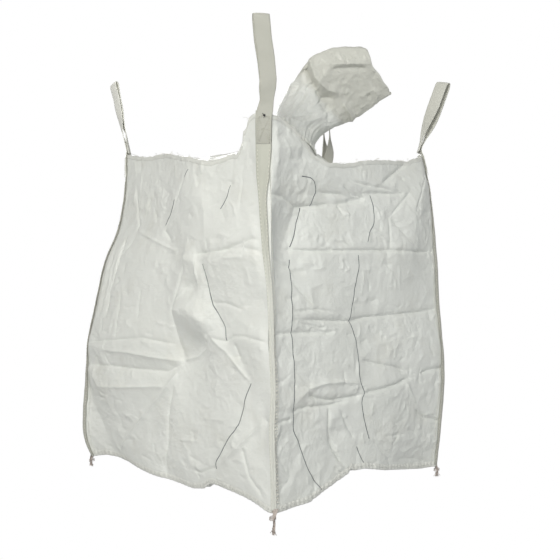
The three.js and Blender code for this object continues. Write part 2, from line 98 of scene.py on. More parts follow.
FR_FACETS = [
    (0.3, [(0.018,1.024),(0.034,1.005),(0.022,0.88),(0.014,0.876)]),
    (-0.55, [(0.034,1.005),(0.173,1.021),(0.174,0.939),(0.241,0.859),(0.168,0.852),(0.099,0.875),(0.022,0.88)]),
    (-0.95, [(0.014,0.876),(0.098,0.871),(0.168,0.849),(0.118,0.741),(0.043,0.795)]),
    (0.2, [(0.198,0.851),(0.333,0.866),(0.416,0.88),(0.51,0.886),(0.542,0.857),(0.562,0.821),(0.515,0.761),(0.455,0.737),(0.146,0.732)]),
    (0, [(0.279,0.984),(0.381,0.99),(0.655,1.034),(0.823,1.044),(0.619,0.952),(0.438,0.944),(0.405,0.956)]),
    (-0.6, [(0.438,0.94),(0.603,0.946),(0.744,0.93),(0.512,0.912),(0.449,0.919)]),
    (-0.45, [(0.251,0.974),(0.404,0.952),(0.512,0.905),(0.271,0.901)]),
    (0.4, [(0.831,1.044),(0.953,1.065),(0.841,0.909),(0.738,0.861),(0.797,0.943),(0.754,0.935),(0.636,0.958)]),
    (-0.6, [(0.938,1.012),(0.97,0.925),(0.973,0.744),(0.799,0.739),(0.815,0.874)]),
    (0.1, [(0.662,0.849),(0.646,0.739),(0.809,0.747),(0.764,0.779)]),
    (0.0, [(0.515,0.761),(0.562,0.821),(0.655,0.849),(0.639,0.739),(0.511,0.735)]),
    (-0.05, [(0.022,0.722),(0.63,0.732),(0.61,0.522),(0.415,0.517),(0.228,0.565),(0.128,0.664)]),
    (-0.3, [(0.63,0.732),(0.975,0.737),(0.97,0.546),(0.819,0.534),(0.61,0.522)]),
    (-0.3, [(0.124,0.552),(0.336,0.545),(0.415,0.517),(0.141,0.529)]),
    (-0.8, [(0.146,0.522),(0.275,0.491),(0.128,0.496)]),
    (0.2, [(0,0.486),(0.11,0.49),(0.116,0.307),(0.114,0.265),(0.014,0.256),(0,0.381)]),
    (-0.05, [(0.122,0.492),(0.288,0.486),(0.379,0.356),(0.345,0.338),(0.175,0.33),(0.122,0.307)]),
    (0.2, [(0.436,0.52),(0.625,0.515),(0.698,0.365),(0.465,0.395)]),
    (-0.35, [(0.65,0.471),(0.986,0.416),(0.993,0.341),(0.743,0.331),(0.674,0.363)]),
    (0.5, [(0.465,0.391),(0.726,0.34),(0.743,0.323),(0.474,0.295)]),
    (0.1, [(0.468,0.291),(0.726,0.309),(0.794,0.209),(0.739,0.191),(0.497,0.179)]),
    (-0.3, [(0.743,0.315),(0.815,0.33),(0.96,0.34),(0.97,0.164),(0.874,0.177),(0.801,0.213)]),
    (-0.5, [(0.175,0.316),(0.288,0.288),(0.46,0.289),(0.38,0.278),(0.283,0.273),(0.136,0.276),(0.116,0.305)]),
    (-0.1, [(0.119,0.274),(0.289,0.27),(0.294,0.201),(0.307,0.164),(0.168,0.136),(0.128,0.22)]),
    (-0.8, [(0.292,0.233),(0.351,0.234),(0.386,0.184),(0.3,0.2)]),
    (-0.35, [(0.53,0.145),(0.97,0.088),(0.96,0.019),(0.662,0.054)]),
    (-0.7, [(0.003,0.218),(0.059,0.22),(0.011,0.115),(0,0.054),(0,0.185)]),
    (0.15, [(0.059,0.218),(0.128,0.22),(0.26,0.031),(0.193,0.007),(0.013,0.034),(0.011,0.115)]),
    (-0.05, [(0.307,0.158),(0.362,0.09),(0.4,0.056),(0.271,0.022),(0.193,0.096),(0.168,0.136)]),
    (0.1, [(0.3,0.196),(0.386,0.184),(0.429,0.158),(0.391,0.072),(0.328,0.13)]),
    (0.1, [(0.43,0.135),(0.53,0.145),(0.662,0.054),(0.775,0.016),(0.492,0.06),(0.427,0.064)]),
]
FL_CREASES = [
    ("v", 5, 9, [(0.129,0.795),(0.135,0.681),(0.118,0.602),(0.134,0.515)]),
    ("v", 3, 7, [(0.203,0.779),(0.139,0.725),(0.125,0.659)]),
    ("v", 2, 7, [(0.128,0.979),(0.217,0.812)]),
    ("r", 3, 7, [(0.217,0.812),(0.475,0.744),(0.526,0.735)]),
    ("r", 2, 6, [(0.464,0.732),(0.526,0.735)]),
    ("v", 3, 8, [(0.575,0.965),(0.421,0.802),(0.485,0.76)]),
    ("v", 4, 8, [(0.65,0.72),(0.801,0.726),(0.941,0.754),(0.979,0.749)]),
    ("v", 3, 7, [(0.801,0.726),(0.891,0.734),(0.978,0.718)]),
    ("r", 2.5, 6, [(0.809,0.705),(0.902,0.706)]),
    ("v", 4, 9, [(0.603,0.701),(0.529,0.555),(0.552,0.49),(0.58,0.436),(0.598,0.39)]),
    ("r", 3, 6, [(0.667,0.7),(0.667,0.632),(0.589,0.611),(0.531,0.562)]),
    ("r", 4, 8, [(0.708,0.485),(0.688,0.435),(0.65,0.405),(0.598,0.388)]),
    ("v", 1.6, 6, [(0.33,0.616),(0.34,0.514)]),
    ("v", 1.8, 7, [(0.208,0.602),(0.233,0.441)]),
    ("v", 2, 6, [(0.733,0.574),(0.794,0.575),(0.871,0.555)]),
    ("v", 3, 7, [(0.044,0.423),(0.379,0.454),(0.569,0.439)]),
    ("r", 3, 7, [(0.154,0.401),(0.309,0.403),(0.591,0.385)]),
    ("v", 3, 7, [(0.04,0.34),(0.194,0.348),(0.489,0.349),(0.591,0.378)]),
    ("r", 2, 6, [(0.126,0.27),(0.491,0.301)]),
    ("r", 5, 12, [(0.591,0.37),(0.491,0.301),(0.189,0.042)]),
    ("v", 4, 9, [(0.532,0.309),(0.497,0.241),(0.486,0.114),(0.446,0.005)]),
    ("r", 3, 8, [(0.724,0.471),(0.786,0.436),(0.843,0.389),(0.885,0.353)]),
    ("v", 3.5, 7, [(0.724,0.471),(0.791,0.462),(0.821,0.479),(0.88,0.482),(0.985,0.469)]),
    ("v", 2.5, 6, [(0.828,0.458),(0.85,0.411)]),
    ("r", 4, 9, [(0.951,0.254),(0.884,0.199),(0.763,0.102)]),
    ("v", 3.5, 7, [(0.853,0.172),(0.865,0.134),(0.884,0.084),(0.94,0.041)]),
    ("v", 3, 7, [(0.951,0.254),(0.998,0.221)]),
    ("v", 3, 5, [(0.61,0.054),(0.647,0.053),(0.701,0.074),(0.731,0.083)]),
    ("r", 1.2, 5, [(0.669,0.221),(0.777,0.231)]),
    ("r", 1.2, 5, [(0.547,0.139),(0.65,0.15)]),
    ("v", 1.5, 5, [(0.339,0.057),(0.395,0.05)]),
    ("v", 1.5, 5, [(0.416,0.107),(0.419,0.079)]),
]
FR_CREASES = [
    ("v", 4, 8, [(0.015,0.88),(0.099,0.875),(0.168,0.852),(0.241,0.859),(0.334,0.87)]),
    ("v", 3, 7, [(0.271,0.901),(0.391,0.904),(0.51,0.89),(0.346,0.871)]),
    ("v", 3, 7, [(0.395,0.934),(0.448,0.911),(0.519,0.901),(0.416,0.884)]),
    ("v", 2.5, 6, [(0.374,0.87),(0.398,0.841),(0.425,0.836)]),
    ("v", 3.5, 7, [(0.431,0.948),(0.532,0.941),(0.633,0.941),(0.744,0.93),(0.514,0.916)]),
    ("v", 3.5, 7, [(0.82,1.039),(0.619,0.952)]),
    ("v", 2.5, 6, [(0.656,0.856),(0.647,0.746)]),
    ("v", 3, 7, [(0.662,0.849),(0.764,0.779),(0.826,0.752)]),
    ("v", 2.5, 6, [(0.796,0.939),(0.662,0.849)]),
    ("v", 2.5, 6, [(0.94,1.018),(0.841,0.909),(0.814,0.866)]),
    ("v", 4, 6, [(0.088,0.727),(0.23,0.727),(0.333,0.73),(0.455,0.734),(0.646,0.739),(0.964,0.741)]),
    ("v", 2, 5, [(0.281,0.744),(0.333,0.73)]),
    ("v", 2.5, 6, [(0.045,0.703),(0.129,0.677),(0.145,0.667),(0.205,0.666)]),
    ("v", 2.5, 6, [(0.131,0.641),(0.175,0.606),(0.228,0.565)]),
    ("v", 1.5, 5, [(0.383,0.703),(0.408,0.677)]),
    ("v", 2.5, 6, [(0.124,0.552),(0.246,0.557),(0.336,0.545)]),
    ("v", 4, 7, [(0.135,0.529),(0.415,0.517),(0.506,0.526),(0.819,0.534),(0.97,0.544)]),
    ("v", 3, 6, [(0.141,0.522),(0.275,0.501),(0.219,0.502),(0.288,0.486),(0.352,0.491)]),
    ("v", 3, 6, [(0,0.486),(0.036,0.492),(0.134,0.492),(0.23,0.489),(0.274,0.482)]),
    ("v", 2, 6, [(0.03,0.47),(0.04,0.446),(0.059,0.399)]),
    ("v", 3.5, 7, [(0.465,0.395),(0.562,0.378),(0.674,0.359),(0.726,0.344)]),
    ("v", 5, 8, [(0.468,0.295),(0.56,0.299),(0.656,0.307),(0.743,0.319)]),
    ("v", 4, 7, [(0.815,0.33),(0.874,0.338),(0.973,0.341)]),
    ("v", 6, 8, [(0.175,0.318),(0.224,0.301),(0.288,0.289),(0.352,0.288),(0.46,0.289)]),
    ("r", 4, 8, [(0.175,0.33),(0.261,0.34),(0.345,0.338),(0.445,0.326)]),
    ("v", 3.5, 7, [(0.114,0.265),(0.136,0.276),(0.195,0.278),(0.283,0.273),(0.38,0.278)]),
    ("r", 2.5, 6, [(0.726,0.305),(0.799,0.233)]),
    ("v", 4, 7, [(0.802,0.208),(0.874,0.177),(0.983,0.158)]),
    ("v", 3, 6, [(0.289,0.271),(0.294,0.201),(0.32,0.149),(0.362,0.09)]),
    ("v", 2.5, 6, [(0.35,0.251),(0.4,0.189),(0.429,0.161)]),
    ("v", 3, 6, [(0.01,0.256),(0.041,0.249),(0.109,0.251)]),
    ("v", 4, 7, [(0.059,0.218),(0.035,0.19),(0.011,0.119)]),
    ("v", 1.5, 6, [(0.025,0.184),(0.089,0.097)]),
    ("v", 1.5, 6, [(0.028,0.129),(0.094,0.083),(0.034,0.053)]),
    ("v", 1.8, 6, [(0.53,0.145),(0.662,0.054)]),
    ("v", 1.5, 5, [(0.701,0.064),(0.829,0.048),(0.951,0.016)]),
    ("v", 1.5, 5, [(0.596,0.149),(0.73,0.141)]),
    ("v", 3, 6, [(0.294,0.184),(0.328,0.13),(0.391,0.072),(0.413,0.076)]),
    ("v", 2.5, 5, [(0.323,0.089),(0.385,0.055)]),
]
FL_YARNS = [
    [(0.6,0.981),(0.571,0.958)],
    [(0.495,0.897),(0.474,0.867),(0.424,0.819)],
    [(0.833,0.912),(0.821,0.88),(0.79,0.847)],
    [(0.699,0.689),(0.714,0.651),(0.725,0.6),(0.733,0.574),(0.756,0.541),(0.785,0.499),(0.79,0.466)],
    [(0.89,0.35),(0.863,0.304),(0.856,0.274),(0.845,0.236),(0.787,0.17),(0.758,0.131),(0.731,0.094),(0.731,0.08)],
]
FR_YARNS = [
    [(0.18,0.94),(0.236,0.936),(0.251,0.925),(0.261,0.902),(0.246,0.875),(0.241,0.859)],
    [(0.198,0.851),(0.176,0.809),(0.164,0.77),(0.145,0.736)],
    [(0.134,0.699),(0.128,0.661),(0.131,0.634),(0.124,0.586),(0.122,0.552),(0.119,0.506),(0.121,0.455),(0.121,0.409),(0.119,0.355),(0.114,0.309),(0.115,0.278),(0.118,0.251),(0.121,0.22),(0.145,0.184),(0.168,0.136),(0.193,0.096),(0.224,0.061),(0.26,0.031)],
    [(0.554,0.912),(0.565,0.882),(0.568,0.851),(0.562,0.821),(0.532,0.792),(0.515,0.761)],
    [(0.46,0.719),(0.465,0.69),(0.449,0.637),(0.434,0.583),(0.42,0.539),(0.414,0.521),(0.432,0.484),(0.449,0.436),(0.45,0.388),(0.446,0.351),(0.456,0.318),(0.471,0.293),(0.461,0.278),(0.466,0.24),(0.475,0.214),(0.491,0.182),(0.508,0.151)],
    [(0.444,0.134),(0.468,0.097),(0.492,0.072)],
]

# ---------------------------------------------------------------- numbers
def line_xy(rows, z):
    r = np.array(rows, float) / 1000
    x = r[:, 0]
    z = np.asarray(z, float)
    h = np.diff(x)
    i = np.clip(np.searchsorted(x, z, side='right') - 1, 0, len(x) - 2)
    t = (z - x[i]) / h[i]
    out = []
    for k in (1, 2):
        y = r[:, k]
        d = np.diff(y) / h
        m = np.zeros_like(y)
        m[1:-1] = (d[:-1] * h[1:] + d[1:] * h[:-1]) / (h[1:] + h[:-1])
        m[0], m[-1] = d[0], d[-1]
        out.append((2*t**3 - 3*t*t + 1)*y[i] + (t**3 - 2*t*t + t)*h[i]*m[i] + (3*t*t - 2*t**3)*y[i+1] + (t**3 - t*t)*h[i]*m[i+1])
    return np.stack(out, -1)


def table(rows, s):
    r = np.array(rows, float)
    return np.interp(s, r[:, 0], r[:, 1]) / 1000


def smooth01(t):
    t = np.clip(t, 0, 1)
    return t * t * (3 - 2 * t)


def lattice(seed):
    rng = np.random.RandomState(seed)
    g = rng.normal(size=(64, 64, 64, 3)).astype(np.float32)
    return g / np.linalg.norm(g, axis=-1, keepdims=True)


_lat = {}


def noise3(p, seed=1):
    """smooth noise, about -0.7 to 0.7, at points p in cells"""
    if seed not in _lat:
        _lat[seed] = lattice(seed)
    g = _lat[seed]
    p = np.asarray(p, float)
    i = np.floor(p).astype(int)
    f = p - i
    u = f * f * f * (f * (f * 6 - 15) + 10)
    total = 0
    for a in (0, 1):
        for b in (0, 1):
            for c in (0, 1):
                k = (i + (a, b, c)) & 63
                v = g[k[..., 0], k[..., 1], k[..., 2]]
                d = ((f - (a, b, c)) * v).sum(-1)
                w = (u[..., 0] if a else 1 - u[..., 0]) * (u[..., 1] if b else 1 - u[..., 1]) * (u[..., 2] if c else 1 - u[..., 2])
                total = total + w * d
    return total


def crumple(p, cell, seed):
    """creased paper: sharp ridges between smooth dents, mean about 0"""
    q = np.asarray(p, float) / cell
    warp = np.stack([noise3(q * 0.7 + 11.3, seed), noise3(q * 0.7 + 37.1, seed), noise3(q * 0.7 + 71.7, seed)], -1)
    q = q + 0.9 * warp
    a = noise3(q, seed)
    b = noise3(q * 1.3 + 19.7, seed)
    return 0.5 * (0.22 - np.abs(a)) + 0.5 * (0.22 - np.abs(b))


def box_blur(A, k, axis):
    if k < 2:
        return A
    pad = [(0, 0)] * A.ndim
    pad[axis] = (k // 2, k - 1 - k // 2)
    q = np.cumsum(np.pad(A, pad, mode='edge'), axis=axis)
    z = np.zeros_like(np.take(q, [0], axis=axis))
    q = np.concatenate([z, q], axis=axis)
    n = A.shape[axis]
    return (np.take(q, range(k, k + n), axis=axis) - np.take(q, range(0, n), axis=axis)) / k


def facet_field(facets, width, nx=321, nz=377, z0=-0.02, z1=1.11, keep=1.2, slope=(0.14, -0.30), side=0.3):
    """outward height whose slope is each facet's own, flat in between"""
    X = np.linspace(0, 1, nx)
    Z = np.linspace(z0, z1, nz)
    SS, ZZ = np.meshgrid(X, Z, indexing='ij')
    B = np.zeros_like(SS)
    for b, poly in facets:
        poly = np.array(poly)
        inside = np.zeros(SS.shape, bool)
        x1, y1 = poly[-1]
        for x2, y2 in poly:
            hit = (y1 > ZZ) != (y2 > ZZ)
            with np.errstate(divide='ignore', invalid='ignore'):
                cross = SS < (x2 - x1) * (ZZ - y1) / (y2 - y1) + x1
            inside ^= hit & cross
            x1, y1 = x2, y2
        B[inside] = b
    dx, dz = width / (nx - 1), (z1 - z0) / (nz - 1)
    gx, gz = slope[0] * B, slope[1] * B
    soft = box_blur(box_blur(B, 9, 0), 9, 1)
    gx, gz = slope[0] * (0.8 * B + 0.2 * soft), slope[1] * (0.8 * B + 0.2 * soft)
    # least squares: height whose differences are g, pulled gently to nought
    mx = 0.5 * (gx[1:, :] + gx[:-1, :])
    mz = 0.5 * (gz[:, 1:] + gz[:, :-1])
    rhs = np.zeros_like(B)
    rhs[:-1, :] -= side * mx / dx
    rhs[1:, :] += side * mx / dx
    rhs[:, :-1] -= mz / dz
    rhs[:, 1:] += mz / dz

    def lap(n, d, fixed):
        A = np.zeros((n, n))
        for i in range(n - 1):
            A[i, i] += 1; A[i+1, i+1] += 1; A[i, i+1] -= 1; A[i+1, i] -= 1
        if fixed:
            A[0, 0] += 1; A[-1, -1] += 1
        return A / d / d
    wx, Vx = np.linalg.eigh(lap(nx, dx, True))
    wz, Vz = np.linalg.eigh(lap(nz, dz, False))
    H = Vx.T @ rhs @ Vz
    H /= side * wx[:, None] + wz[None, :] + keep ** 2 * 4
    H = Vx @ H @ Vz.T
    return X, Z, H


def bilinear(X, Z, H, s, z):
    i = np.clip((s - X[0]) / (X[1] - X[0]), 0, len(X) - 1.0001)
    j = np.clip((z - Z[0]) / (Z[1] - Z[0]), 0, len(Z) - 1.0001)
    a, b = i.astype(int), j.astype(int)
    f, g = i - a, j - b
    return H[a, b]*(1-f)*(1-g) + H[a+1, b]*f*(1-g) + H[a, b+1]*(1-f)*g + H[a+1, b+1]*f*g


def near_line(poly, x, y):
    """distance of (x, y) from a line of points, and how far along it (0 to 1)"""
    p = np.array(poly, float)
    best = np.full(np.shape(x), 1e9)
    where = np.zeros(np.shape(x))
    seg = np.hypot(*np.diff(p, axis=0).T)
    total, run = seg.sum(), 0.0
    for k in range(len(p) - 1):
        a, b = p[k], p[k + 1]
        d = b - a
        t = np.clip(((x - a[0]) * d[0] + (y - a[1]) * d[1]) / max(d @ d, 1e-12), 0, 1)
        q = np.hypot(x - a[0] - t * d[0], y - a[1] - t * d[1])
        closer = q < best
        best = np.where(closer, q, best)
        where = np.where(closer, (run + t * seg[k]) / total, where)
        run += seg[k]
    return best, where


def smooth_path(points, n):
    """n points along a smooth curve through the given ones"""
    p = np.array(points, float)
    k = len(p)
    d = np.r_[0, np.cumsum(np.linalg.norm(np.diff(p, axis=0), axis=1))]
    m = np.zeros_like(p)
    h = np.diff(d)
    s = np.diff(p, axis=0) / h[:, None]
    m[1:-1] = (s[:-1] * h[1:, None] + s[1:] * h[:-1, None]) / (h[1:] + h[:-1])[:, None]
    m[0], m[-1] = s[0], s[-1]
    q = np.linspace(0, d[-1], n)
    i = np.clip(np.searchsorted(d, q, side='right') - 1, 0, k - 2)
    t = ((q - d[i]) / h[i])[:, None]
    hh = h[i][:, None]
    return (2*t**3-3*t*t+1)*p[i] + (t**3-2*t*t+t)*hh*m[i] + (3*t*t-2*t**3)*p[i+1] + (t**3-t*t)*hh*m[i+1]


# ---------------------------------------------------------------- meshes
def mesh_of(name, verts, faces, uv=None, mat=None, smooth=True):
    me = bpy.data.meshes.new(name)
    me.from_pydata(np.asarray(verts, float).tolist(), [], np.asarray(faces).tolist() if not isinstance(faces, list) else faces)
    if uv is not None:
        layer = me.uv_layers.new(name='UVMap')
        layer.data.foreach_set('uv', np.asarray(uv, np.float32).ravel())
    if smooth:
        me.polygons.foreach_set('use_smooth', [True] * len(me.polygons))
    me.update()
    ob = bpy.data.objects.new(name, me)
    bpy.context.scene.collection.objects.link(ob)
    if mat is not None:
        me.materials.append(mat)
    return ob


def grid_faces(n, m, wrap=False, base=0):
    ni = n if wrap else n - 1
    I, J = np.meshgrid(np.arange(ni), np.arange(m - 1), indexing='ij')
    I1 = (I + 1) % n
    f = np.stack([I*m + J, I1*m + J, I1*m + J + 1, I*m + J + 1], -1).reshape(-1, 4)
    return f + base


def grid_uv(UV, n, m, wrap=False):
    ni = n if wrap else n - 1
    I, J = np.meshgrid(np.arange(ni), np.arange(m - 1), indexing='ij')
    return np.stack([UV[I, J], UV[I+1, J], UV[I+1, J+1], UV[I, J+1]], 2).reshape(-1, 2)


def grid(name, P, UV, mat, wrap=False, thick=None, offset=-1.0):
    n, m = P.shape[:2]
    ob = mesh_of(name, P.reshape(-1, 3), grid_faces(n, m, wrap), grid_uv(UV, n, m, wrap), mat)
    if thick:
        solid(ob, thick, offset)
    return ob


def solid(ob, thick, offset=-1.0):
    md = ob.modifiers.new('Thickness', 'SOLIDIFY')
    md.thickness = thick
    md.offset = offset
    md.use_quality_normals = True


class Parts:
    """many small shapes joined in one mesh"""
    def __init__(self):
        self.v, self.f, self.uv, self.n = [], [], [], 0

    def add(self, P, UV=None, wrap=False):
        P = np.asarray(P, float)
        n, m = P.shape[:2]
        if UV is None:
            a = np.linspace(0, 0.01 * n, n + 1)
            b = np.linspace(0, 0.01 * m, m)
            UV = np.stack(np.meshgrid(a, b, indexing='ij'), -1)
        self.v.append(P.reshape(-1, 3))
        self.f.append(grid_faces(n, m, wrap, self.n))
        self.uv.append(grid_uv(UV, n, m, wrap))
        self.n += n * m

    def build(self, name, mat, smooth=True):
        return mesh_of(name, np.concatenate(self.v), np.concatenate(self.f), np.concatenate(self.uv), mat, smooth)


def strand(path, radius, sides=6, flat=1.0, taper=True):
    """closed tube along a path; the ends come to a point"""
    p = np.asarray(path, float)
    n = len(p)
    r = np.full(n, radius, float) if np.isscalar(radius) else np.asarray(radius, float)
    t = np.gradient(p, axis=0)
    t /= np.linalg.norm(t, axis=1, keepdims=True) + 1e-12
    ref = np.array([0.3, 0.2, 0.93]) if abs(t[0] @ np.array([0.3, 0.2, 0.93])) < 0.9 else np.array([0.93, 0.3, 0.2])
    a = np.cross(t, ref)
    a /= np.linalg.norm(a, axis=1, keepdims=True)
    b = np.cross(t, a)
    th = np.arange(sides) * 2 * np.pi / sides
    ring = p[None] + r[None, :, None] * (np.cos(th)[:, None, None] * a[None] + flat * np.sin(th)[:, None, None] * b[None])
    if taper:
        ring[:, 0] = p[0]
        ring[:, -1] = p[-1]
    return ring


# ---------------------------------------------------------------- materials
def srgb(r, g, b):
    return tuple(((c/255) / 12.92 if c/255 <= 0.04045 else ((c/255 + 0.055) / 1.055) ** 2.4) for c in (r, g, b)) + (1.0,)


class Nodes:
    def __init__(self, name):
        self.mat = bpy.data.materials.new(name)
        self.mat.use_nodes = True
        self.t = self.mat.node_tree
        self.t.nodes.clear()
        self.out = self.t.nodes.new('ShaderNodeOutputMaterial')
        self.bsdf = self.t.nodes.new('ShaderNodeBsdfPrincipled')
        self.t.links.new(self.bsdf.outputs[0], self.out.inputs[0])
        uv = self.t.nodes.new('ShaderNodeUVMap')
        uv.uv_map = 'UVMap'
        self.uv = uv.outputs[0]

    def link(self, a, b):
        self.t.links.new(a, b)

    def node(self, kind, ins=None, **props):
        n = self.t.nodes.new(kind)
        for k, v in props.items():
            setattr(n, k, v)
        for k, v in (ins or {}).items():
            if hasattr(v, 'links') or isinstance(v, bpy.types.NodeSocket):
                self.link(v, n.inputs[k])
            else:
                n.inputs[k].default_value = v
        return n

    def math(self, op, a, b=None, c=None, clamp=False):
        n = self.t.nodes.new('ShaderNodeMath')
        n.operation = op
        n.use_clamp = clamp
        for k, v in enumerate((a, b, c)):
            if v is None:
                continue
            if isinstance(v, bpy.types.NodeSocket):
                self.link(v, n.inputs[k])
            else:
                n.inputs[k].default_value = v
        return n.outputs[0]

    def scaled(self, sx, sy, shift=(0, 0, 0), turn=0.0):
        n = self.t.nodes.new('ShaderNodeMapping')
        self.link(self.uv, n.inputs['Vector'])
        n.inputs['Scale'].default_value = (sx, sy, 1)
        n.inputs['Location'].default_value = shift
        n.inputs['Rotation'].default_value = (0, 0, turn)
        return n.outputs[0]

    def noise(self, vector, scale, detail=2.0, rough=0.5, distortion=0.0):
        n = self.node('ShaderNodeTexNoise', {'Vector': vector, 'Scale': scale, 'Detail': detail, 'Roughness': rough, 'Distortion': distortion})
        return n.outputs['Fac'] if 'Fac' in n.outputs else n.outputs[0]

    def range(self, x, a, b, c=0.0, d=1.0):
        n = self.t.nodes.new('ShaderNodeMapRange')
        self.link(x, n.inputs[0])
        for k, v in zip((1, 2, 3, 4), (a, b, c, d)):
            n.inputs[k].default_value = v
        return n.outputs[0]

    def mix(self, fac, a, b):
        n = self.t.nodes.new('ShaderNodeMix')
        n.data_type = 'RGBA'
        for k, v in ((0, fac), (6, a), (7, b)):
            if isinstance(v, bpy.types.NodeSocket):
                self.link(v, n.inputs[k])
            else:
                n.inputs[k].default_value = v
        return n.outputs[2]

    def bump(self, height, strength, distance, normal=None):
        n = self.node('ShaderNodeBump', {'Height': height, 'Strength': strength, 'Distance': distance})
        if normal is not None:
            self.link(normal, n.inputs['Normal'])
        return n.outputs[0]

    def set(self, **kw):
        for k, v in kw.items():
            s = self.bsdf.inputs[k.replace('_', ' ')]
            if isinstance(v, bpy.types.NodeSocket):
                self.link(v, s)
            else:
                s.default_value = v


def woven(name, light, dark, pitch=0.0026, rough=(0.34, 0.5), crinkle=1.0, stain=0.25, sleeve=None):
    """flat plastic tapes woven over and under, with a thin coating, storage creases and a little dust"""
    m = Nodes(name)
    k = math.pi / pitch
    sep = m.node('ShaderNodeSeparateXYZ', {0: m.scaled(1, 1)})
    u, v = sep.outputs[0], sep.outputs[1]
    wu = m.math('ABSOLUTE', m.math('SINE', m.math('MULTIPLY', u, k)))
    wv = m.math('ABSOLUTE', m.math('SINE', m.math('MULTIPLY', v, k)))
    check = m.node('ShaderNodeTexChecker', {'Vector': m.scaled(1, 1), 'Scale': 1 / pitch})
    over = check.outputs['Fac']
    # weave height: warp tape where over is 1, weft tape elsewhere
    weave = m.math('ADD', m.math('MULTIPLY', over, wu), m.math('MULTIPLY', m.math('SUBTRACT', 1.0, over), wv))
    # tapes differ a little in shade
    tape_u = m.noise(m.scaled(1 / pitch, 2.5), 1.0, 1.0)
    tape_v = m.noise(m.scaled(2.5, 1 / pitch, (7, 3, 0)), 1.0, 1.0)
    big = m.noise(m.scaled(1, 1), 3.5, 3.0, 0.6)
    fold = m.noise(m.scaled(1, 1, (3.1, 1.7, 0)), 14.0, 4.0, 0.55, 0.6)
    crease = m.math('ABSOLUTE', m.math('SUBTRACT', fold, 0.5))
    fold2 = m.noise(m.scaled(1, 1, (9.1, 4.7, 0)), 48.0, 3.0, 0.55, 0.8)
    crease2 = m.math('ABSOLUTE', m.math('SUBTRACT', fold2, 0.5))
    fine = m.noise(m.scaled(1, 1), 420.0, 2.0)
    shade = m.math('ADD', m.math('MULTIPLY', m.math('ADD', tape_u, tape_v), 0.22), m.math('MULTIPLY', big, 0.9))
    shade = m.math('SUBTRACT', shade, 0.18, clamp=True)
    base = m.mix(shade, dark, light)
    dirt_patch = m.range(m.noise(m.scaled(1, 1, (5.5, 8.2, 0)), 7.0, 5.0, 0.65), 0.52, 0.74)
    speck = m.range(m.noise(m.scaled(1, 1), 160.0, 2.0, 0.5), 0.62, 0.8)
    dust = m.math('MULTIPLY', m.math('ADD', m.math('MULTIPLY', dirt_patch, 0.7), m.math('MULTIPLY', speck, 0.5)), stain, clamp=True)
    worn = m.range(crease2, 0.0, 0.03, 0.10, 0.0)
    base = m.mix(dust, base, srgb(186, 182, 162))
    base = m.mix(worn, base, srgb(236, 238, 236))
    r = m.range(m.noise(m.scaled(1, 1, (2, 9, 0)), 22.0, 4.0, 0.6), 0.3, 0.7, rough[0], rough[1])
    if sleeve is not None:  # past its fold the spout is painted darker and warmer grey, as painted shade of the sleeve that faces down, and it is made matt
        at = m.range(v, 0.158, 0.182)
        base = m.mix(m.math('MULTIPLY', at, 0.8), base, sleeve)
        r = m.math('ADD', r, m.math('MULTIPLY', at, 0.16))
    where = m.range(m.noise(m.scaled(1, 1, (4.2, 0.7, 0)), 5.5, 2.0, 0.5), 0.38, 0.62, 0.25, 1.0)
    crease = m.math('MULTIPLY', crease, where)
    crease2b = m.math('MULTIPLY', crease2, where)
    n1 = m.bump(crease, 0.8, 0.0062 * crinkle)
    n2 = m.bump(crease2b, 0.8, 0.0034 * crinkle, n1)
    n3 = m.bump(weave, 0.5, 0.00022, n2)
    n4 = m.bump(fine, 0.3, 0.0001, n3)
    m.set(Base_Color=base, Roughness=r, Normal=n4)
    m.bsdf.inputs['Specular IOR Level'].default_value = 0.42
    m.bsdf.inputs['Sheen Weight'].default_value = 0.08
    m.bsdf.inputs['Coat Weight'].default_value = 0.12
    m.bsdf.inputs['Coat Roughness'].default_value = 0.22
    return m.mat


def webbing(name, light, dark, pale=None):
    """thick woven band: ribs along its length crossed by short picks, fuzzy and a little soiled at its edges. u across, v along"""
    m = Nodes(name)
    sep = m.node('ShaderNodeSeparateXYZ', {0: m.scaled(1, 1)})
    u, v = sep.outputs[0], sep.outputs[1]
    rib = m.math('ABSOLUTE', m.math('SINE', m.math('MULTIPLY', u, math.pi / 0.0023)))
    slant = m.math('ADD', v, m.math('MULTIPLY', m.math('PINGPONG', u, 0.0023), 1.2))
    pick = m.math('ABSOLUTE', m.math('SINE', m.math('MULTIPLY', slant, math.pi / 0.0021)))
    tex = m.math('ADD', m.math('MULTIPLY', rib, 0.65), m.math('MULTIPLY', pick, 0.5))
    fibre = m.noise(m.scaled(260, 1600), 1.0, 2.0)
    big = m.noise(m.scaled(1, 1), 9.0, 4.0, 0.6)
    edge = m.range(m.math('ABSOLUTE', u), 0.017, 0.0235)
    fac = m.math('ADD', m.math('MULTIPLY', big, 0.75), m.math('MULTIPLY', fibre, 0.35))
    fac = m.math('SUBTRACT', fac, m.math('MULTIPLY', edge, 0.16), clamp=True)
    base = m.mix(fac, dark, light)
    if pale is not None:  # lighter towards the bottom
        base = m.mix(m.range(v, 0.60, 0.78, 0.85, 0.0), base, pale)
    # painted shade: the grooves between ribs and picks are painted darker
    groove_shade = m.range(tex, 0.05, 0.4, 0.13, 0.0)
    base = m.mix(groove_shade, base, srgb(160, 158, 144))
    r = m.range(fibre, 0.2, 0.8, 0.72, 0.9)
    n1 = m.bump(tex, 0.5, 0.00022)
    n2 = m.bump(fibre, 0.3, 0.00012, n1)
    n3 = m.bump(big, 0.3, 0.003, n2)
    m.set(Base_Color=base, Roughness=r, Normal=n3)
    m.bsdf.inputs['Specular IOR Level'].default_value = 0.25
    m.bsdf.inputs['Sheen Weight'].default_value = 0.15
    m.bsdf.inputs['Sheen Roughness'].default_value = 0.6
    return m.mat


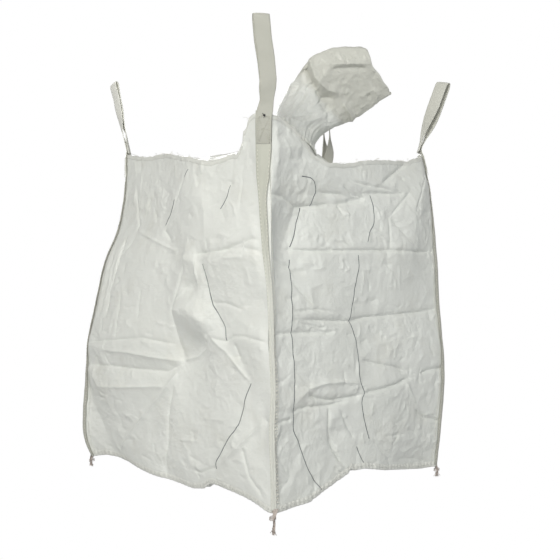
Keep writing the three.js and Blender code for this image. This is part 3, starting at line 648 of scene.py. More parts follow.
def threads(name, light, dark, rough=0.75, twist=0.0014):
    """twisted sewing thread; v along"""
    m = Nodes(name)
    sep = m.node('ShaderNodeSeparateXYZ', {0: m.scaled(1, 1)})
    ply = m.math('SINE', m.math('MULTIPLY', m.math('ADD', sep.outputs[0], m.math('MULTIPLY', sep.outputs[1], 1.4)), 2 * math.pi / twist))
    fuzz = m.noise(m.scaled(1, 1), 900.0, 2.0)
    tone = m.noise(m.scaled(1, 1), 30.0, 3.0)
    # the ply twist darkens the colour in stripes: painted shade in the grooves between plies; the tone noise is random
    fac = m.math('ADD', m.math('MULTIPLY', tone, 0.7), m.math('MULTIPLY', m.math('ADD', ply, 1.0), 0.18), clamp=True)
    base = m.mix(fac, dark, light)
    r = m.range(fuzz, 0.2, 0.8, rough - 0.08, rough + 0.1)
    n1 = m.bump(ply, 0.5, 0.0003)
    n2 = m.bump(fuzz, 0.4, 0.0002, n1)
    m.set(Base_Color=base, Roughness=r, Normal=n2)
    m.bsdf.inputs['Specular IOR Level'].default_value = 0.3
    return m.mat


def marker(name, dark, cloth):
    """coloured tape woven in: it shows where it passes over, and hides where it passes under. v along"""
    m = Nodes(name)
    sep = m.node('ShaderNodeSeparateXYZ', {0: m.scaled(1, 1)})
    beat = m.math('ABSOLUTE', m.math('SINE', m.math('MULTIPLY', sep.outputs[1], math.pi / 0.0052)))
    patch = m.noise(m.scaled(1, 1), 60.0, 3.0)
    under = m.math('MULTIPLY', m.range(beat, 0.10, 0.32, 1.0, 0.0), m.range(patch, 0.35, 0.6, 0.2, 1.0))
    base = m.mix(under, dark, cloth)
    n1 = m.bump(beat, 0.5, 0.0003)
    r = m.range(patch, 0.3, 0.7, 0.4, 0.55)
    m.set(Base_Color=base, Roughness=r, Normal=n1)
    return m.mat


M_WALL = woven('wall_cloth', srgb(233, 235, 230), srgb(219, 221, 214))
M_THIN = woven('thin_cloth', srgb(230, 231, 226), srgb(212, 213, 206), rough=(0.27, 0.42), crinkle=1.25, stain=0.2)
# the sleeve colour is painted shade: past its fold the spout faces down and is painted darker
M_SPOUT = woven('spout_cloth', srgb(226, 228, 223), srgb(208, 210, 204), crinkle=1.15, rough=(0.26, 0.42), sleeve=srgb(194, 194, 184))
M_HEM = woven('hem_cloth', srgb(228, 229, 223), srgb(210, 211, 203), rough=(0.4, 0.55), crinkle=0.8, stain=0.35)
M_WEB = webbing('webbing', srgb(187, 187, 178), srgb(165, 165, 154))
M_WEB_PALE = webbing('webbing_lighter_below', srgb(197, 198, 187), srgb(177, 178, 165), pale=srgb(213, 214, 206))
# lit copies of the loop webbing: the left loop is painted much lighter and the right loop a little lighter, as painted
# light that makes up for the shade the loops cast on themselves
M_WEB_LEFT = webbing('webbing_left_painted_light', srgb(240, 240, 233), srgb(226, 226, 216))
M_WEB_RIGHT = webbing('webbing_right_painted_light', srgb(215, 215, 206), srgb(192, 192, 182))
M_THREAD = threads('thread', srgb(240, 239, 232), srgb(216, 214, 202))
M_THREAD_WEB = threads('webbing_thread', srgb(207, 207, 194), srgb(190, 190, 176))
M_TAIL = threads('tail_thread', srgb(212, 203, 196), srgb(172, 160, 150), rough=0.85, twist=0.003)
M_DARK = threads('dark_thread', srgb(52, 52, 58), srgb(22, 22, 26), rough=0.6)
M_YARN = marker('marker_tape', srgb(62, 68, 76), srgb(200, 203, 200))

# ---------------------------------------------------------------- side walls
def chord(wall, s, z):
    """the wall without its folds, rounded into the corner at each end"""
    a, b, _, _ = WALLS[wall]
    s, z = np.broadcast_arrays(np.asarray(s, float), np.asarray(z, float))
    A, B = line_xy(LINES[a], z), line_xy(LINES[b], z)
    # the front corner is drawn sharp below the lifting loop, where its belt is folded narrow
    ca, cb = [np.interp(z, [0.62, 0.97], [0.009, CHAMFER])[..., None] if c == 'front' else CHAMFER for c in (a, b)]
    a1 = A + np.array(RUN[a]) * ca
    b1 = B - np.array(RUN[b]) * cb
    C = 0.024

    def flat(q):
        return a1 + (b1 - a1) * ((q - STRIP) / (1 - 2 * STRIP))[..., None]
    mid = flat(s)
    ta = np.clip(s / C, 0, 1)[..., None]
    tb = np.clip((1 - s) / C, 0, 1)[..., None]
    qa, qb = flat(np.full_like(s, C)), flat(np.full_like(s, 1 - C))
    ea = (1 - ta) ** 2 * A + 2 * ta * (1 - ta) * a1 + ta ** 2 * qa
    eb = (1 - tb) ** 2 * B + 2 * tb * (1 - tb) * b1 + tb ** 2 * qb
    return np.where((s < C)[..., None], ea, np.where((s > 1 - C)[..., None], eb, mid))


def outward(wall, z):
    a, b, _, _ = WALLS[wall]
    d = line_xy(LINES[b], z) - line_xy(LINES[a], z)
    d /= np.linalg.norm(d, axis=-1, keepdims=True)
    return np.stack([d[..., 1], -d[..., 0]], -1)


def storage(seed, n=26):
    """folds of a wall that was kept folded flat: random tilted facets"""
    rng = np.random.RandomState(seed)
    out = []
    for _ in range(n):
        c = rng.rand(2) * (0.9, 1.0) + (0.05, 0.03)
        r = rng.uniform(0.07, 0.2)
        k = rng.randint(3, 6)
        th = np.sort(rng.rand(k) * 2 * np.pi)
        out.append((rng.uniform(-0.6, 0.45), [(c[0] + r * 1.1 * math.cos(t), c[1] + r * math.sin(t)) for t in th]))
    lines = [('v', 4, 7, [(0.02, z + rng.uniform(-.01, .01)), (0.35, z + rng.uniform(-.012, .012)), (0.7, z + rng.uniform(-.012, .012)), (0.98, z + rng.uniform(-.01, .01))]) for z in (0.29, 0.52, 0.75)]
    lines += [('v', 3.5, 7, [(s + rng.uniform(-.01, .01), 0.02), (s + rng.uniform(-.01, .01), 0.5), (s + rng.uniform(-.01, .01), 1.0)]) for s in (0.36, 0.66)]
    for _ in range(12):
        a = rng.rand(2) * (0.8, 0.9) + (0.08, 0.05)
        b = a + rng.normal(size=2) * 0.11
        c = b + rng.normal(size=2) * 0.07
        lines.append((rng.choice(['v', 'r', 'v']), rng.uniform(1.5, 4), rng.uniform(5, 8), [tuple(np.clip(q, 0.04, 0.97)) for q in (a, b, c)]))
    return out, lines




def pull(u, z):  # the folds that meet at the dark facet lie a little further to the left
    return (u - 0.052 * math.exp(-((u - 0.59) / 0.085) ** 2 - ((z - 0.40) / 0.12) ** 2), z)


FL_FACETS = [(a, [pull(*q) for q in p]) for a, p in FL_FACETS]
FL_CREASES = [tuple([pull(*q) for q in c] if isinstance(c, list) else c for c in row) for row in FL_CREASES]
BR_FACETS, BR_CREASES = storage(5)
BL_FACETS, BL_CREASES = storage(9)
FOLDS = {'front_left': (FL_FACETS, FL_CREASES), 'front_right': (FR_FACETS, FR_CREASES), 'back_right': (BR_FACETS, BR_CREASES), 'back_left': (BL_FACETS, BL_CREASES)}
RES = {'front_left': (311, 361), 'front_right': (311, 361), 'back_right': (171, 191), 'back_left': (171, 191)}
SEED = {'front_left': 3, 'front_right': 4, 'back_right': 6, 'back_left': 7}
FIELD = {}
for w, (facets, creases) in FOLDS.items():
    width = float(np.linalg.norm(np.diff([line_xy(LINES[WALLS[w][k]], 0.5) for k in (0, 1)], axis=0)))
    X, Z, H = facet_field(facets, width, slope=(-0.28, -0.66) if w == 'front_left' else (0.24, -0.56))
    H = 0.052 * np.tanh(H / 0.052)
    SS, ZZ = np.meshgrid(X, Z, indexing='ij')
    if w == 'front_right':  # the cloth caves in beside the front belt
        H -= (0.006 + 0.016 * smooth01((ZZ - 0.55) / 0.25)) * (1 - np.exp(-(SS / 0.075) ** 2)) * np.exp(-(SS / 0.30) ** 2)
    if w == 'front_left':  # wavy upright creases near the left corner
        for s0 in (0.035, 0.058, 0.083, 0.112):
            line = [((s0 + 0.006 * math.sin(9 * z_ + 40 * s0) + 0.02 * (z_ - 0.6)) * width, z_) for z_ in np.linspace(0.40 + s0, 0.86 - s0, 9)]
            dd, al = near_line(line, SS * width, ZZ)
            H += 0.0030 * np.exp(-dd / 0.006) * smooth01(al / 0.2) * smooth01((1 - al) / 0.2) * np.sign(0.07 - s0)
    # short sharp crinkles of stiff coated cloth, in patches
    rng = np.random.RandomState(200 + SEED[w])
    cs_, cz_ = X * width, Z
    for k in range(420 if w.startswith('front') else 200):
        c0 = rng.rand(2) * (width * 0.94, 1.06) + (width * 0.03, 0.01)
        patch = noise3(np.array([[c0[0] / 0.17, c0[1] / 0.17, SEED[w]]]), 33)[0]
        if patch < rng.uniform(-0.55, 0.25):
            continue
        L = rng.uniform(0.018, 0.085)
        kind = rng.rand()
        th = rng.normal() * 0.16 + (0 if kind < 0.42 else math.pi / 2 if kind < 0.66 else rng.uniform(0, math.pi))
        d0 = np.array([math.cos(th), math.sin(th)])
        bend = rng.normal() * 0.12 * L * np.array([-d0[1], d0[0]])
        line = [tuple(c0 - d0 * L / 2), tuple(c0 + bend), tuple(c0 + d0 * L / 2)]
        i0, i1 = np.searchsorted(cs_, [c0[0] - L, c0[0] + L])
        j0, j1 = np.searchsorted(cz_, [c0[1] - L, c0[1] + L])
        if i1 - i0 < 2 or j1 - j0 < 2:
            continue
        dd, al = near_line(line, SS[i0:i1, j0:j1] * width, ZZ[i0:i1, j0:j1])
        wide = rng.uniform(0.0045, 0.009)
        H[i0:i1, j0:j1] += rng.choice([-1, 1]) * rng.uniform(0.0010, 0.0034) * np.exp(-dd / wide) * smooth01(al / 0.3) * smooth01((1 - al) / 0.3)
    for kind, amp, wid, line in creases:
        pl = [(a * width, b) for a, b in line]
        d, along = near_line(pl, SS * width, ZZ)
        fade = smooth01(along / 0.12) * smooth01((1 - along) / 0.12) * 0.75 + 0.25
        H += (-1 if kind == 'v' else 1) * 2.0 * amp * 0.001 * np.exp(-d / (0.75 * wid * 0.001)) * fade
    FIELD[w] = (X, Z, H, width)


def fold_height(wall, s, z):
    X, Z, H, width = FIELD[wall]
    h = bilinear(X, Z, H, s, z)
    p = np.stack([s * width, z, np.zeros_like(s)], -1)
    sd = SEED[wall]
    worn = 0.35 + 1.3 * smooth01(noise3(p / 0.23, sd + 80) * 1.6 + 0.45)  # some parts were creased more than others
    h = h + 0.0075 * crumple(p, 0.095, sd) + worn * (0.0034 * crumple(p, 0.038, sd + 20) + 0.0013 * crumple(p, 0.017, sd + 40))
    mask = smooth01((s - 0.016) / 0.038) * smooth01((0.984 - s) / 0.038)
    # small puckers beside the sewn corner belts
    near = np.exp(-(s / 0.09)) + np.exp(-((1 - s) / 0.09))
    pucker = 0.0016 * noise3(np.stack([s * 9, z / 0.021, 0 * s + 0.5], -1), sd + 60) * near
    return h * mask + pucker * smooth01(s / 0.03) * smooth01((1 - s) / 0.03)


def surf(wall, s, z):
    s, z = np.broadcast_arrays(np.asarray(s, float), np.asarray(z, float))
    xy = chord(wall, s, z) + outward(wall, z) * fold_height(wall, s, z)[..., None]
    return np.concatenate([xy, z[..., None]], -1)


def rim_z(wall, s):
    s = np.asarray(s, float)
    rag = 0.0022 * noise3(np.stack([s * 70, 0 * s + SEED[wall], 0 * s], -1), 2) + 0.0045 * noise3(np.stack([s * 21, 0 * s + SEED[wall], 0 * s + 5], -1), 2)
    if wall == 'front_left':  # the frayed step beside the front loop
        rag = rag + 0.009 * noise3(np.stack([s * 110, 0 * s, 0 * s + 9], -1), 2) * np.exp(-((s - 0.905) / 0.03) ** 2)
    return RIM - table(WALLS[wall][2], s) + rag * smooth01(s / .03) * smooth01((1 - s) / .03)


def foot_z(wall, s):
    return LOW + table(WALLS[wall][3], s)


PATCH, WALL_OBJ = {}, {}
for w in WALLS:
    nu, nv = RES[w]
    s = np.linspace(0, 1, nu)
    v = np.linspace(0, 1, nv)
    zt, zb = rim_z(w, s), foot_z(w, s)
    SS = np.repeat(s[:, None], nv, 1)
    ZZ = zb[:, None] + (zt - zb)[:, None] * v[None]
    P = surf(w, SS, ZZ)
    PATCH[w] = (s, zb, zt, P)
    width = FIELD[w][3]
    ob = grid(f'side_wall_{w}', P, np.stack([SS * width, ZZ], -1), M_WALL, thick=FABRIC_T)
    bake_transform(ob)
    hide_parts(f'wall_{w}')
    WALL_OBJ[w] = ob


def on_wall(w, s, z):
    """point of the wall's own mesh, and its outward normal"""
    ss, zb, zt, P = PATCH[w]
    s, z = np.asarray(s, float), np.asarray(z, float)
    b, t = np.interp(s, ss, zb), np.interp(s, ss, zt)
    v = np.clip((z - b) / (t - b), 0, 1)
    n, m = P.shape[:2]
    i = np.clip(s * (n - 1), 0, n - 1.001)
    j = np.clip(v * (m - 1), 0, m - 1.001)
    a, c = i.astype(int), j.astype(int)
    f, g = (i - a)[..., None], (j - c)[..., None]
    q = P[a, c]*(1-f)*(1-g) + P[a+1, c]*f*(1-g) + P[a, c+1]*(1-f)*g + P[a+1, c+1]*f*g
    n1 = np.cross(P[a+1, c] - P[a, c], P[a, c+1] - P[a, c])
    n1 /= np.linalg.norm(n1, axis=-1, keepdims=True)
    return q, n1


# ---------------------------------------------------------------- marker tapes woven in the walls
def ribbon_on(w, pts, width, lift, out, step=0.004):
    W = FIELD[w][3]
    p = np.array([(a * W, b) for a, b in pts])
    L = np.linalg.norm(np.diff(p, axis=0), axis=1).sum()
    q = smooth_path(p, max(4, int(L / step)))
    d = np.gradient(q, axis=0)
    d /= np.linalg.norm(d, axis=1, keepdims=True)
    side = np.stack([-d[:, 1], d[:, 0]], -1)
    run = np.r_[0, np.cumsum(np.linalg.norm(np.diff(q, axis=0), axis=1))]
    rows, uvs = [], []
    for k in (-0.5, 0.5):
        e = q + side * width * k
        P, N = on_wall(w, e[:, 0] / W, e[:, 1])
        rows.append(P + N * lift)
        uvs.append(np.stack([np.full_like(run, k * width), run], -1))
    P = np.array(rows[::-1])
    UV = np.array(uvs[::-1])
    out.add(P, UV)


for w, yarns in (('front_left', FL_YARNS), ('front_right', FR_YARNS)):
    pt = Parts()
    for y in yarns:
        ribbon_on(w, y, 0.0021, 0.00045, pt)
    ob = pt.build(f'marker_tapes_{w}', M_YARN)
    solid(ob, 0.0003, -1)
    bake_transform(ob)

# ---------------------------------------------------------------- corner sections, for all that is sewn on the corners
SEC_A = np.linspace(-0.085, 0.085, 69)
SEC_Z = np.linspace(0.0, 1.112, 241)
SECTION = {}


for c, (wi, wo) in NEXT.items():
    sa = np.linspace(0.0, 0.16, 90)
    out = np.zeros((len(SEC_Z), len(SEC_A), 2))
    ZI = np.repeat(SEC_Z[:, None], len(sa), 1)
    PO = surf(wo, np.repeat(sa[None], len(SEC_Z), 0), ZI)[..., :2]
    PI = surf(wi, np.repeat(1 - sa[None], len(SEC_Z), 0), ZI)[..., :2]
    for k in range(len(SEC_Z)):
        do = np.r_[0, np.cumsum(np.linalg.norm(np.diff(PO[k], axis=0), axis=1))]
        di = np.r_[0, np.cumsum(np.linalg.norm(np.diff(PI[k], axis=0), axis=1))]
        a = np.r_[-di[::-1], do[1:]]
        p = np.r_[PI[k][::-1], PO[k][1:]]
        out[k, :, 0] = np.interp(SEC_A, a, p[:, 0])
        out[k, :, 1] = np.interp(SEC_A, a, p[:, 1])
    out = box_blur(box_blur(out, 5, 1), 5, 0)
    t = np.gradient(out, axis=1)
    t /= np.linalg.norm(t, axis=-1, keepdims=True)
    SECTION[c] = (out, np.stack([t[..., 1], -t[..., 0]], -1))


def on_corner(c, a, z, lift):
    """a point beside corner c: a along the cloth from the corner line, z height, lift above the cloth"""
    P, N = SECTION[c]
    a, z, lift = np.broadcast_arrays(np.asarray(a, float), np.asarray(z, float), np.asarray(lift, float))
    j = np.clip((a - SEC_A[0]) / (SEC_A[1] - SEC_A[0]), 0, len(SEC_A) - 1.001)
    i = np.clip((z - SEC_Z[0]) / (SEC_Z[1] - SEC_Z[0]), 0, len(SEC_Z) - 1.001)
    m, n = i.astype(int), j.astype(int)
    f, g = (i - m)[..., None], (j - n)[..., None]

    def mix(A):
        return A[m, n]*(1-f)*(1-g) + A[m+1, n]*f*(1-g) + A[m, n+1]*(1-f)*g + A[m+1, n+1]*f*g
    q = mix(P) + mix(N) * lift[..., None]
    return np.concatenate([q, z[..., None]], -1)


# how far each belt lies round its corner, and how wide it shows where it is folded lengthwise: height, shift, width
BELTS = {
 'front': [(0, -1, 20), (.28, 0, 19), (.50, 2, 19), (.62, 0, 20), (.72, -5, 21), (.863, -7, 23), (.893, -6, 28), (.923, -4, 37), (1.0, -1, 44), (1.11, 0, 46)],
 'left': [(0, 13, 42), (.3, 16, 45), (.8, 15, 46), (1.0, 8, 46), (1.11, 2, 46)],
 'right': [(0, -13, 42), (.3, -16, 45), (.8, -15, 46), (1.0, -8, 46), (1.11, -2, 46)],
 'back': [(0, 3, 44), (.5, -2, 45), (1.0, 0, 46), (1.11, 0, 46)]}
WEB_T = 0.0024
BELT_TOP = 0.0008 + WEB_T


def belt_at(c, t, z):
    """t -1 to 1 across the belt"""
    b = np.array(BELTS[c])
    sh = np.interp(z, b[:, 0], b[:, 1]) / 1000
    wd = np.interp(z, b[:, 0], b[:, 2]) / 1000
    k = {'front': 1, 'left': 2, 'right': 3, 'back': 4}[c]
    sh = sh + 0.0016 * noise3(np.stack([z * 6, 0 * z + k, 0 * z], -1), 71)
    return sh + t * wd / 2, wd


def belt_lift(c, t, z):
    """the webbing bridges small dents, cups a little, and stands up in a ridge where it is folded"""
    _, wd = belt_at(c, t, z)
    tight = np.clip((0.046 - wd) / 0.022, 0, 1)
    wave = 0.0010 * noise3(np.stack([z * 22, t * 1.3, 0 * z + 2.2], -1), 72) + 0.0006 * noise3(np.stack([z * 70, t * 2.0, 0 * z], -1), 73)
    return BELT_TOP + 0.0032 * tight * (1 - np.abs(t)) ** 1.4 + 0.0010 + wave + 0.0006 * (t * t)


for c in OUT:
    nt, nz = 17, 300
    t = np.linspace(-1, 1, nt)
    z = np.linspace(0.012, 1.104, nz)
    T, Zz = np.meshgrid(t, z, indexing='ij')
    a, wd = belt_at(c, T, Zz)
    P = on_corner(c, a, Zz, belt_lift(c, T, Zz))
    ob = grid(f'webbing_belt_{c}', P, np.stack([T * 0.023, Zz], -1), M_WEB_PALE if c == 'front' else M_WEB, thick=WEB_T)
    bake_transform(ob)
    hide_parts(f'corner_belt_{c}')

# ---------------------------------------------------------------- stitches: short threads that dip under between holes
def stitch(parts, a_pt, b_pt, up, r=0.00065, arch=0.0007, sides=5):
    a_pt, b_pt, up = np.asarray(a_pt), np.asarray(b_pt), np.asarray(up)
    t = np.linspace(0, 1, 5)[:, None]
    p = a_pt + (b_pt - a_pt) * t + up * (arch * np.sin(np.pi * t) - 0.0006 * np.abs(2 * t - 1) ** 4)
    ring = strand(p, np.array([0.45, 0.9, 1, 0.9, 0.45]) * r, sides)
    UV = np.stack(np.meshgrid(np.linspace(0, 2 * math.pi * r, sides + 1), np.linspace(0, np.linalg.norm(b_pt - a_pt), 5), indexing='ij'), -1)
    parts.add(ring, UV, wrap=True)


def row_on_corner(parts, c, line, pitch, share=0.62, r=0.00065, on_belt=True):
    """stitches along a line of (t or a, z)"""
    q = np.array(line, float)
    scale = np.array([0.023 if on_belt else 1.0, 1.0])
    L = np.linalg.norm(np.diff(q * scale, axis=0), axis=1)
    run = np.r_[0, np.cumsum(L)]
    n = max(1, int(run[-1] / pitch))
    for k in range(n):
        e = []
        for d in ((k + 0.5 - share / 2) * run[-1] / n, (k + 0.5 + share / 2) * run[-1] / n):
            tt, zz = np.interp(d, run, q[:, 0]), np.interp(d, run, q[:, 1])
            if on_belt:
                a, _ = belt_at(c, np.array(tt), np.array(zz))
                e.append((a, zz, belt_lift(c, np.array(tt), np.array(zz))))
            else:
                e.append((tt, zz, 0.0009))
        A = on_corner(c, e[0][0], e[0][1], e[0][2] + 0.0001)
        B = on_corner(c, e[1][0], e[1][1], e[1][2] + 0.0001)
        U = on_corner(c, e[0][0], e[0][1], e[0][2] + 0.01) - on_corner(c, e[0][0], e[0][1], e[0][2])
        stitch(parts, A, B, U / np.linalg.norm(U), r)


for c in OUT:
    pt = Parts()
    zz = np.linspace(0.02, 1.0, 40)
    for side in (-0.8, 0.8):
        row_on_corner(pt, c, [(side, z) for z in zz], 0.0106)
    # the wall's own closing seam beside the belt: a chain of slanted stitches
    far = {'front': 0.019, 'left': 0.046, 'right': -0.046, 'back': 0.036}[c]
    step = 0.0075
    n = int(0.98 / step)
    for k in range(n):
        z0 = 0.02 + k * step
        f = np.interp(z0, [0, 0.55, 0.8, 1.0], [1, 1, 1.0, 0.75])
        w0 = far * f
        A = on_corner(c, w0 - 0.0014, z0, 0.0011)
        B = on_corner(c, w0 + 0.0014, z0 + step * 0.8, 0.0011)
        U = on_corner(c, w0, z0, 0.011) - on_corner(c, w0, z0, 0.001)
        stitch(pt, A, B, U / np.linalg.norm(U), 0.0008, 0.0010)
    if c == 'front':  # the lower half is closed with thick overlock thread
        for k in range(44):
            z0 = 0.03 + k * 0.0105
            A = on_corner(c, 0.0095, z0, 0.0020)
            B = on_corner(c, 0.0150, z0 + 0.0062, 0.0016)
            U = on_corner(c, 0.012, z0, 0.012) - on_corner(c, 0.012, z0, 0.002)
            stitch(pt, A, B, U / np.linalg.norm(U), 0.0017, 0.0018, 6)
    ob = pt.build(f'corner_stitching_{c}', M_THREAD)
    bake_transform(ob)
    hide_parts(f'corner_seam_{c}')

# ---------------------------------------------------------------- lifting loops
LOOP_HINGE_Z, LOOP_H, WEB_W, BELT_OFF = 1.106, 0.264, 0.046, 0.0030
LOOP_PATH = [(0.0026, -0.094), (0.0026, -0.04), (0.0018, -0.006), (0.001, .010), (.0035, .032), (.009, .070), (.0115, .120), (.0125, .204), (.0125, .236), (.0105, .252), (.0045, .2600), (-.0045, .2600), (-.0125, .252), (-.0145, .236), (-.0150, .204), (-.0140, .120), (-.0115, .070), (-.0072, .032), (-.0048, .010), (-.0042, -.004)]
LOOPS = {
 'front': dict(lean=1, twist=8, bow=[(-.1, 0), (-.02, 1), (.0, 2.7), (.028, 8), (.083, 11), (.138, 5.5), (.193, -3), (.247, -8), (.27, -9)], kink=10),
 'left': dict(lean=12, twist=38, close=0.38, bow=[(-.1, 0), (0, 0), (.1, 3), (.2, -2), (.27, -3)], kink=0),
 'right': dict(lean=20, twist=52, bow=[(-.1, 0), (0, 0), (.1, -4), (.2, 2), (.27, 4)], kink=0),
 'back': dict(lean=2, twist=82, bow=[(-.1, 0), (0, 0), (.04, -9), (.1, -13), (.2, -6), (.27, -2)], kink=0)}
for c, spec in LOOPS.items():
    bx, by = line_xy(LINES[c], np.array(1.100))
    ox, oy = OUT[c]
    rx, ry = RUN[c]
    lean, twist = math.radians(spec['lean']), math.radians(spec['twist'])
    path = smooth_path(LOOP_PATH, 190)
    a, h = path[:, 0], path[:, 1]
    d = np.gradient(path, axis=0)
    d /= np.linalg.norm(d, axis=1, keepdims=True)
    na, nh = d[:, 1], -d[:, 0]  # outwards of the band
    run = np.r_[0, np.cumsum(np.linalg.norm(np.diff(path, axis=0), axis=1))]
    bow = np.array(spec['bow'])
    nw = 15
    wv = np.linspace(-WEB_W / 2, WEB_W / 2, nw)
    seed = {'front': 81, 'left': 82, 'right': 83, 'back': 84}[c]
    Pn = np.zeros((nw, len(path), 3))
    for k, w in enumerate(wv):
        up = smooth01((h - 0.0) / 0.05)
        wob = up * (0.0016 * noise3(np.stack([run * 16, 0 * run + w * 22, 0 * run], -1), seed) + 0.0007 * noise3(np.stack([run * 60, 0 * run + w * 40, 0 * run], -1), seed))
        cup = up * 0.0010 * (w / (WEB_W / 2)) ** 2
        near_ = np.interp(h, [-0.1, 0, 0.03, 0.07, 0.11, 0.20, 0.245, 0.27], [1, 1, 0.7, 0.6, 0.3, 0.3, 0.5, 0.6]) if spec.get('close') else 1.0
        aa = a * near_ + na * (wob - cup)
        hh = h + nh * (wob - cup)
        sm = smooth01((hh - 0.014) / (0.62 * LOOP_H))
        phi = twist * sm
        if spec['kink']:  # a slight half turn just above the foot
            phi = phi + math.radians(spec['kink']) * np.exp(-((hh - 0.05) / 0.022) ** 2)
        ww = w * (1 - 0.16 * np.exp(-((hh - 0.03) / 0.025) ** 2)) + np.interp(hh, bow[:, 0], bow[:, 1]) / 1000
        w0 = np.interp(hh, bow[:, 0], bow[:, 1]) / 1000
        ca, ww0 = aa + 0.0015, ww - w0
        ta = -0.0015 + ca * np.cos(phi) - ww0 * np.sin(phi)
        tw = ca * np.sin(phi) + ww0 * np.cos(phi) + w0
        on = hh > 0
        la = np.where(on, ta * math.cos(lean) + hh * math.sin(lean), ta)
        lh = np.where(on, -ta * math.sin(lean) + hh * math.cos(lean), hh)
        off = BELT_OFF + la
        X = bx + ox * off + rx * tw
        Y = by + oy * off + ry * tw
        Zq = LOOP_HINGE_Z + lh
        # the sewn foot lies on the belt
        foot = smooth01((0.002 - hh) / 0.03)
        outer = run < run[-1] / 2
        sh, wd = belt_at(c, np.full_like(hh, w / 0.023), np.clip(Zq, 0.95, 1.104))
        thin = smooth01((hh + 0.094) / 0.030)
        lift = belt_lift(c, np.full_like(hh, w / 0.023), np.clip(Zq, 0.95, 1.104)) + (WEB_T + 0.0002) * thin - 0.0012 * (1 - thin)
        Q = on_corner(c, sh, np.clip(Zq, 0.95, 1.104), lift)
        f = (foot * outer)[:, None]
        Pn[k] = np.stack([X, Y, Zq], -1) * (1 - f) + np.concatenate([Q[:, :2], Zq[:, None]], -1) * f
    UV = np.stack(np.meshgrid(wv, run, indexing='ij'), -1)
    # the left and right loops take the webbing copies that are painted lighter, as painted light
    ob = grid(f'lifting_loop_web_{c}', Pn, UV, {'left': M_WEB_LEFT, 'right': M_WEB_RIGHT}.get(c, M_WEB), thick=WEB_T, offset=0.0)
    n = np.array([ox * math.sin(lean), oy * math.sin(lean), math.cos(lean)])
    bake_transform(ob)
    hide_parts(f'lifting_loop_{c}')
    # box stitch that fastens the foot
    pt = Parts()
    X0, X1, Z0, Z1 = -0.78, 0.78, 1.016, 1.086
    lines = [[(X0, Z0), (X1, Z0)], [(X1, Z0), (X1, Z1)], [(X1, Z1), (X0, Z1)], [(X0, Z1), (X0, Z0)], [(X0, Z0), (X1, Z1)], [(X1, Z0), (X0, Z1)], [(X0, 1.051), (X1, 1.051)]]
    for ln in lines:
        q = np.array(ln)
        L = math.hypot((q[1, 0] - q[0, 0]) * 0.023, q[1, 1] - q[0, 1])
        m = max(2, int(L / 0.0062))
        for k in range(m):
            e = []
            for s_ in ((k + 0.14) / m, (k + 0.86) / m):
                tt, zz = q[0] + (q[1] - q[0]) * s_
                aa, _ = belt_at(c, np.array(tt), np.array(zz))
                e.append((aa, zz, belt_lift(c, np.array(tt), np.array(zz)) + WEB_T * 1.5 + 0.0005))
            A, B = on_corner(c, *e[0]), on_corner(c, *e[1])
            U = on_corner(c, e[0][0], e[0][1], e[0][2] + 0.01) - A
            stitch(pt, A, B, U / np.linalg.norm(U), 0.0007, 0.0006)
    sb = pt.build(f'box_stitch_{c}', M_THREAD_WEB)
    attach(sb, 'bag')
    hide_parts(f'loop_stitch_{c}')

# small dark thread knot at the foot of the front loop, with its cut ends
pt = Parts()
aa, _ = belt_at('front', np.array(0.06), np.array(1.090))
kc = on_corner('front', aa, 1.090, belt_lift('front', np.array(0.06), np.array(1.09)) + WEB_T * 1.5 + 0.0022)
th = np.linspace(0, 4 * math.pi, 40)
tr = np.stack([kc[0] + 0.0016 * np.cos(th) * (1 + 0.3 * np.sin(1.5 * th)), kc[1] + 0.0016 * np.cos(th + 0.8), kc[2] + 0.0019 * np.sin(th * 1.02)], -1)
pt.add(strand(tr, 0.0011, 7), None, wrap=True)
for e in ((0.004, -0.004, -0.010), (-0.003, -0.004, 0.006)):
    tail = kc + np.array([0, 0, 0]) + np.linspace(0, 1, 9)[:, None] * np.array(e) + 0.0015 * np.sin(np.linspace(0, 5, 9))[:, None] * np.array([0.5, 0.5, 0.2])
    pt.add(strand(tail, 0.0006, 6), None, wrap=True)
ob = pt.build('thread_knot', M_DARK)
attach(ob, 'bag')
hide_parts('loop_thread_knot')

# ---------------------------------------------------------------- rim hems: the turned top edge, over and inside
for w in WALLS:
    s = np.linspace(0.012, 0.988, 330)
    zt = rim_z(w, s)
    prof = [(-0.0135, 0.0002), (-0.0128, 0.0006), (-0.008, 0.0007), (-0.002, 0.0008), (0.0006, 0.0004), (0.0009, -0.0006), (0.0006, -0.0018), (-0.002, -0.0022), (-0.009, -0.0020), (-0.0132, -0.0018)]
    rows, uv = [], []
    dist = 0.0
    for k, (dz, off) in enumerate(prof):
        low = 0.0014 * noise3(np.stack([s * 40, 0 * s + k * 0.2, 0 * s + SEED[w]], -1), 91) if k in (0, 1) else 0
        P, N = on_wall(w, s, np.minimum(zt + dz + low, zt))
        P = P + N * off
        P[:, 2] += max(dz, 0)
        rows.append(P)
        if k:
            dist += math.hypot(dz - prof[k-1][0], off - prof[k-1][1])
        uv.append(np.stack([s * FIELD[w][3], np.full_like(s, dist)], -1))
    P = np.array(rows).transpose(1, 0, 2)
    UV = np.array(uv).transpose(1, 0, 2)
    ob = grid(f'rim_fold_{w}', P, UV, M_HEM, thick=0.0004)
    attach(ob, 'bag')
    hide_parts(f'rim_hem_{w}')

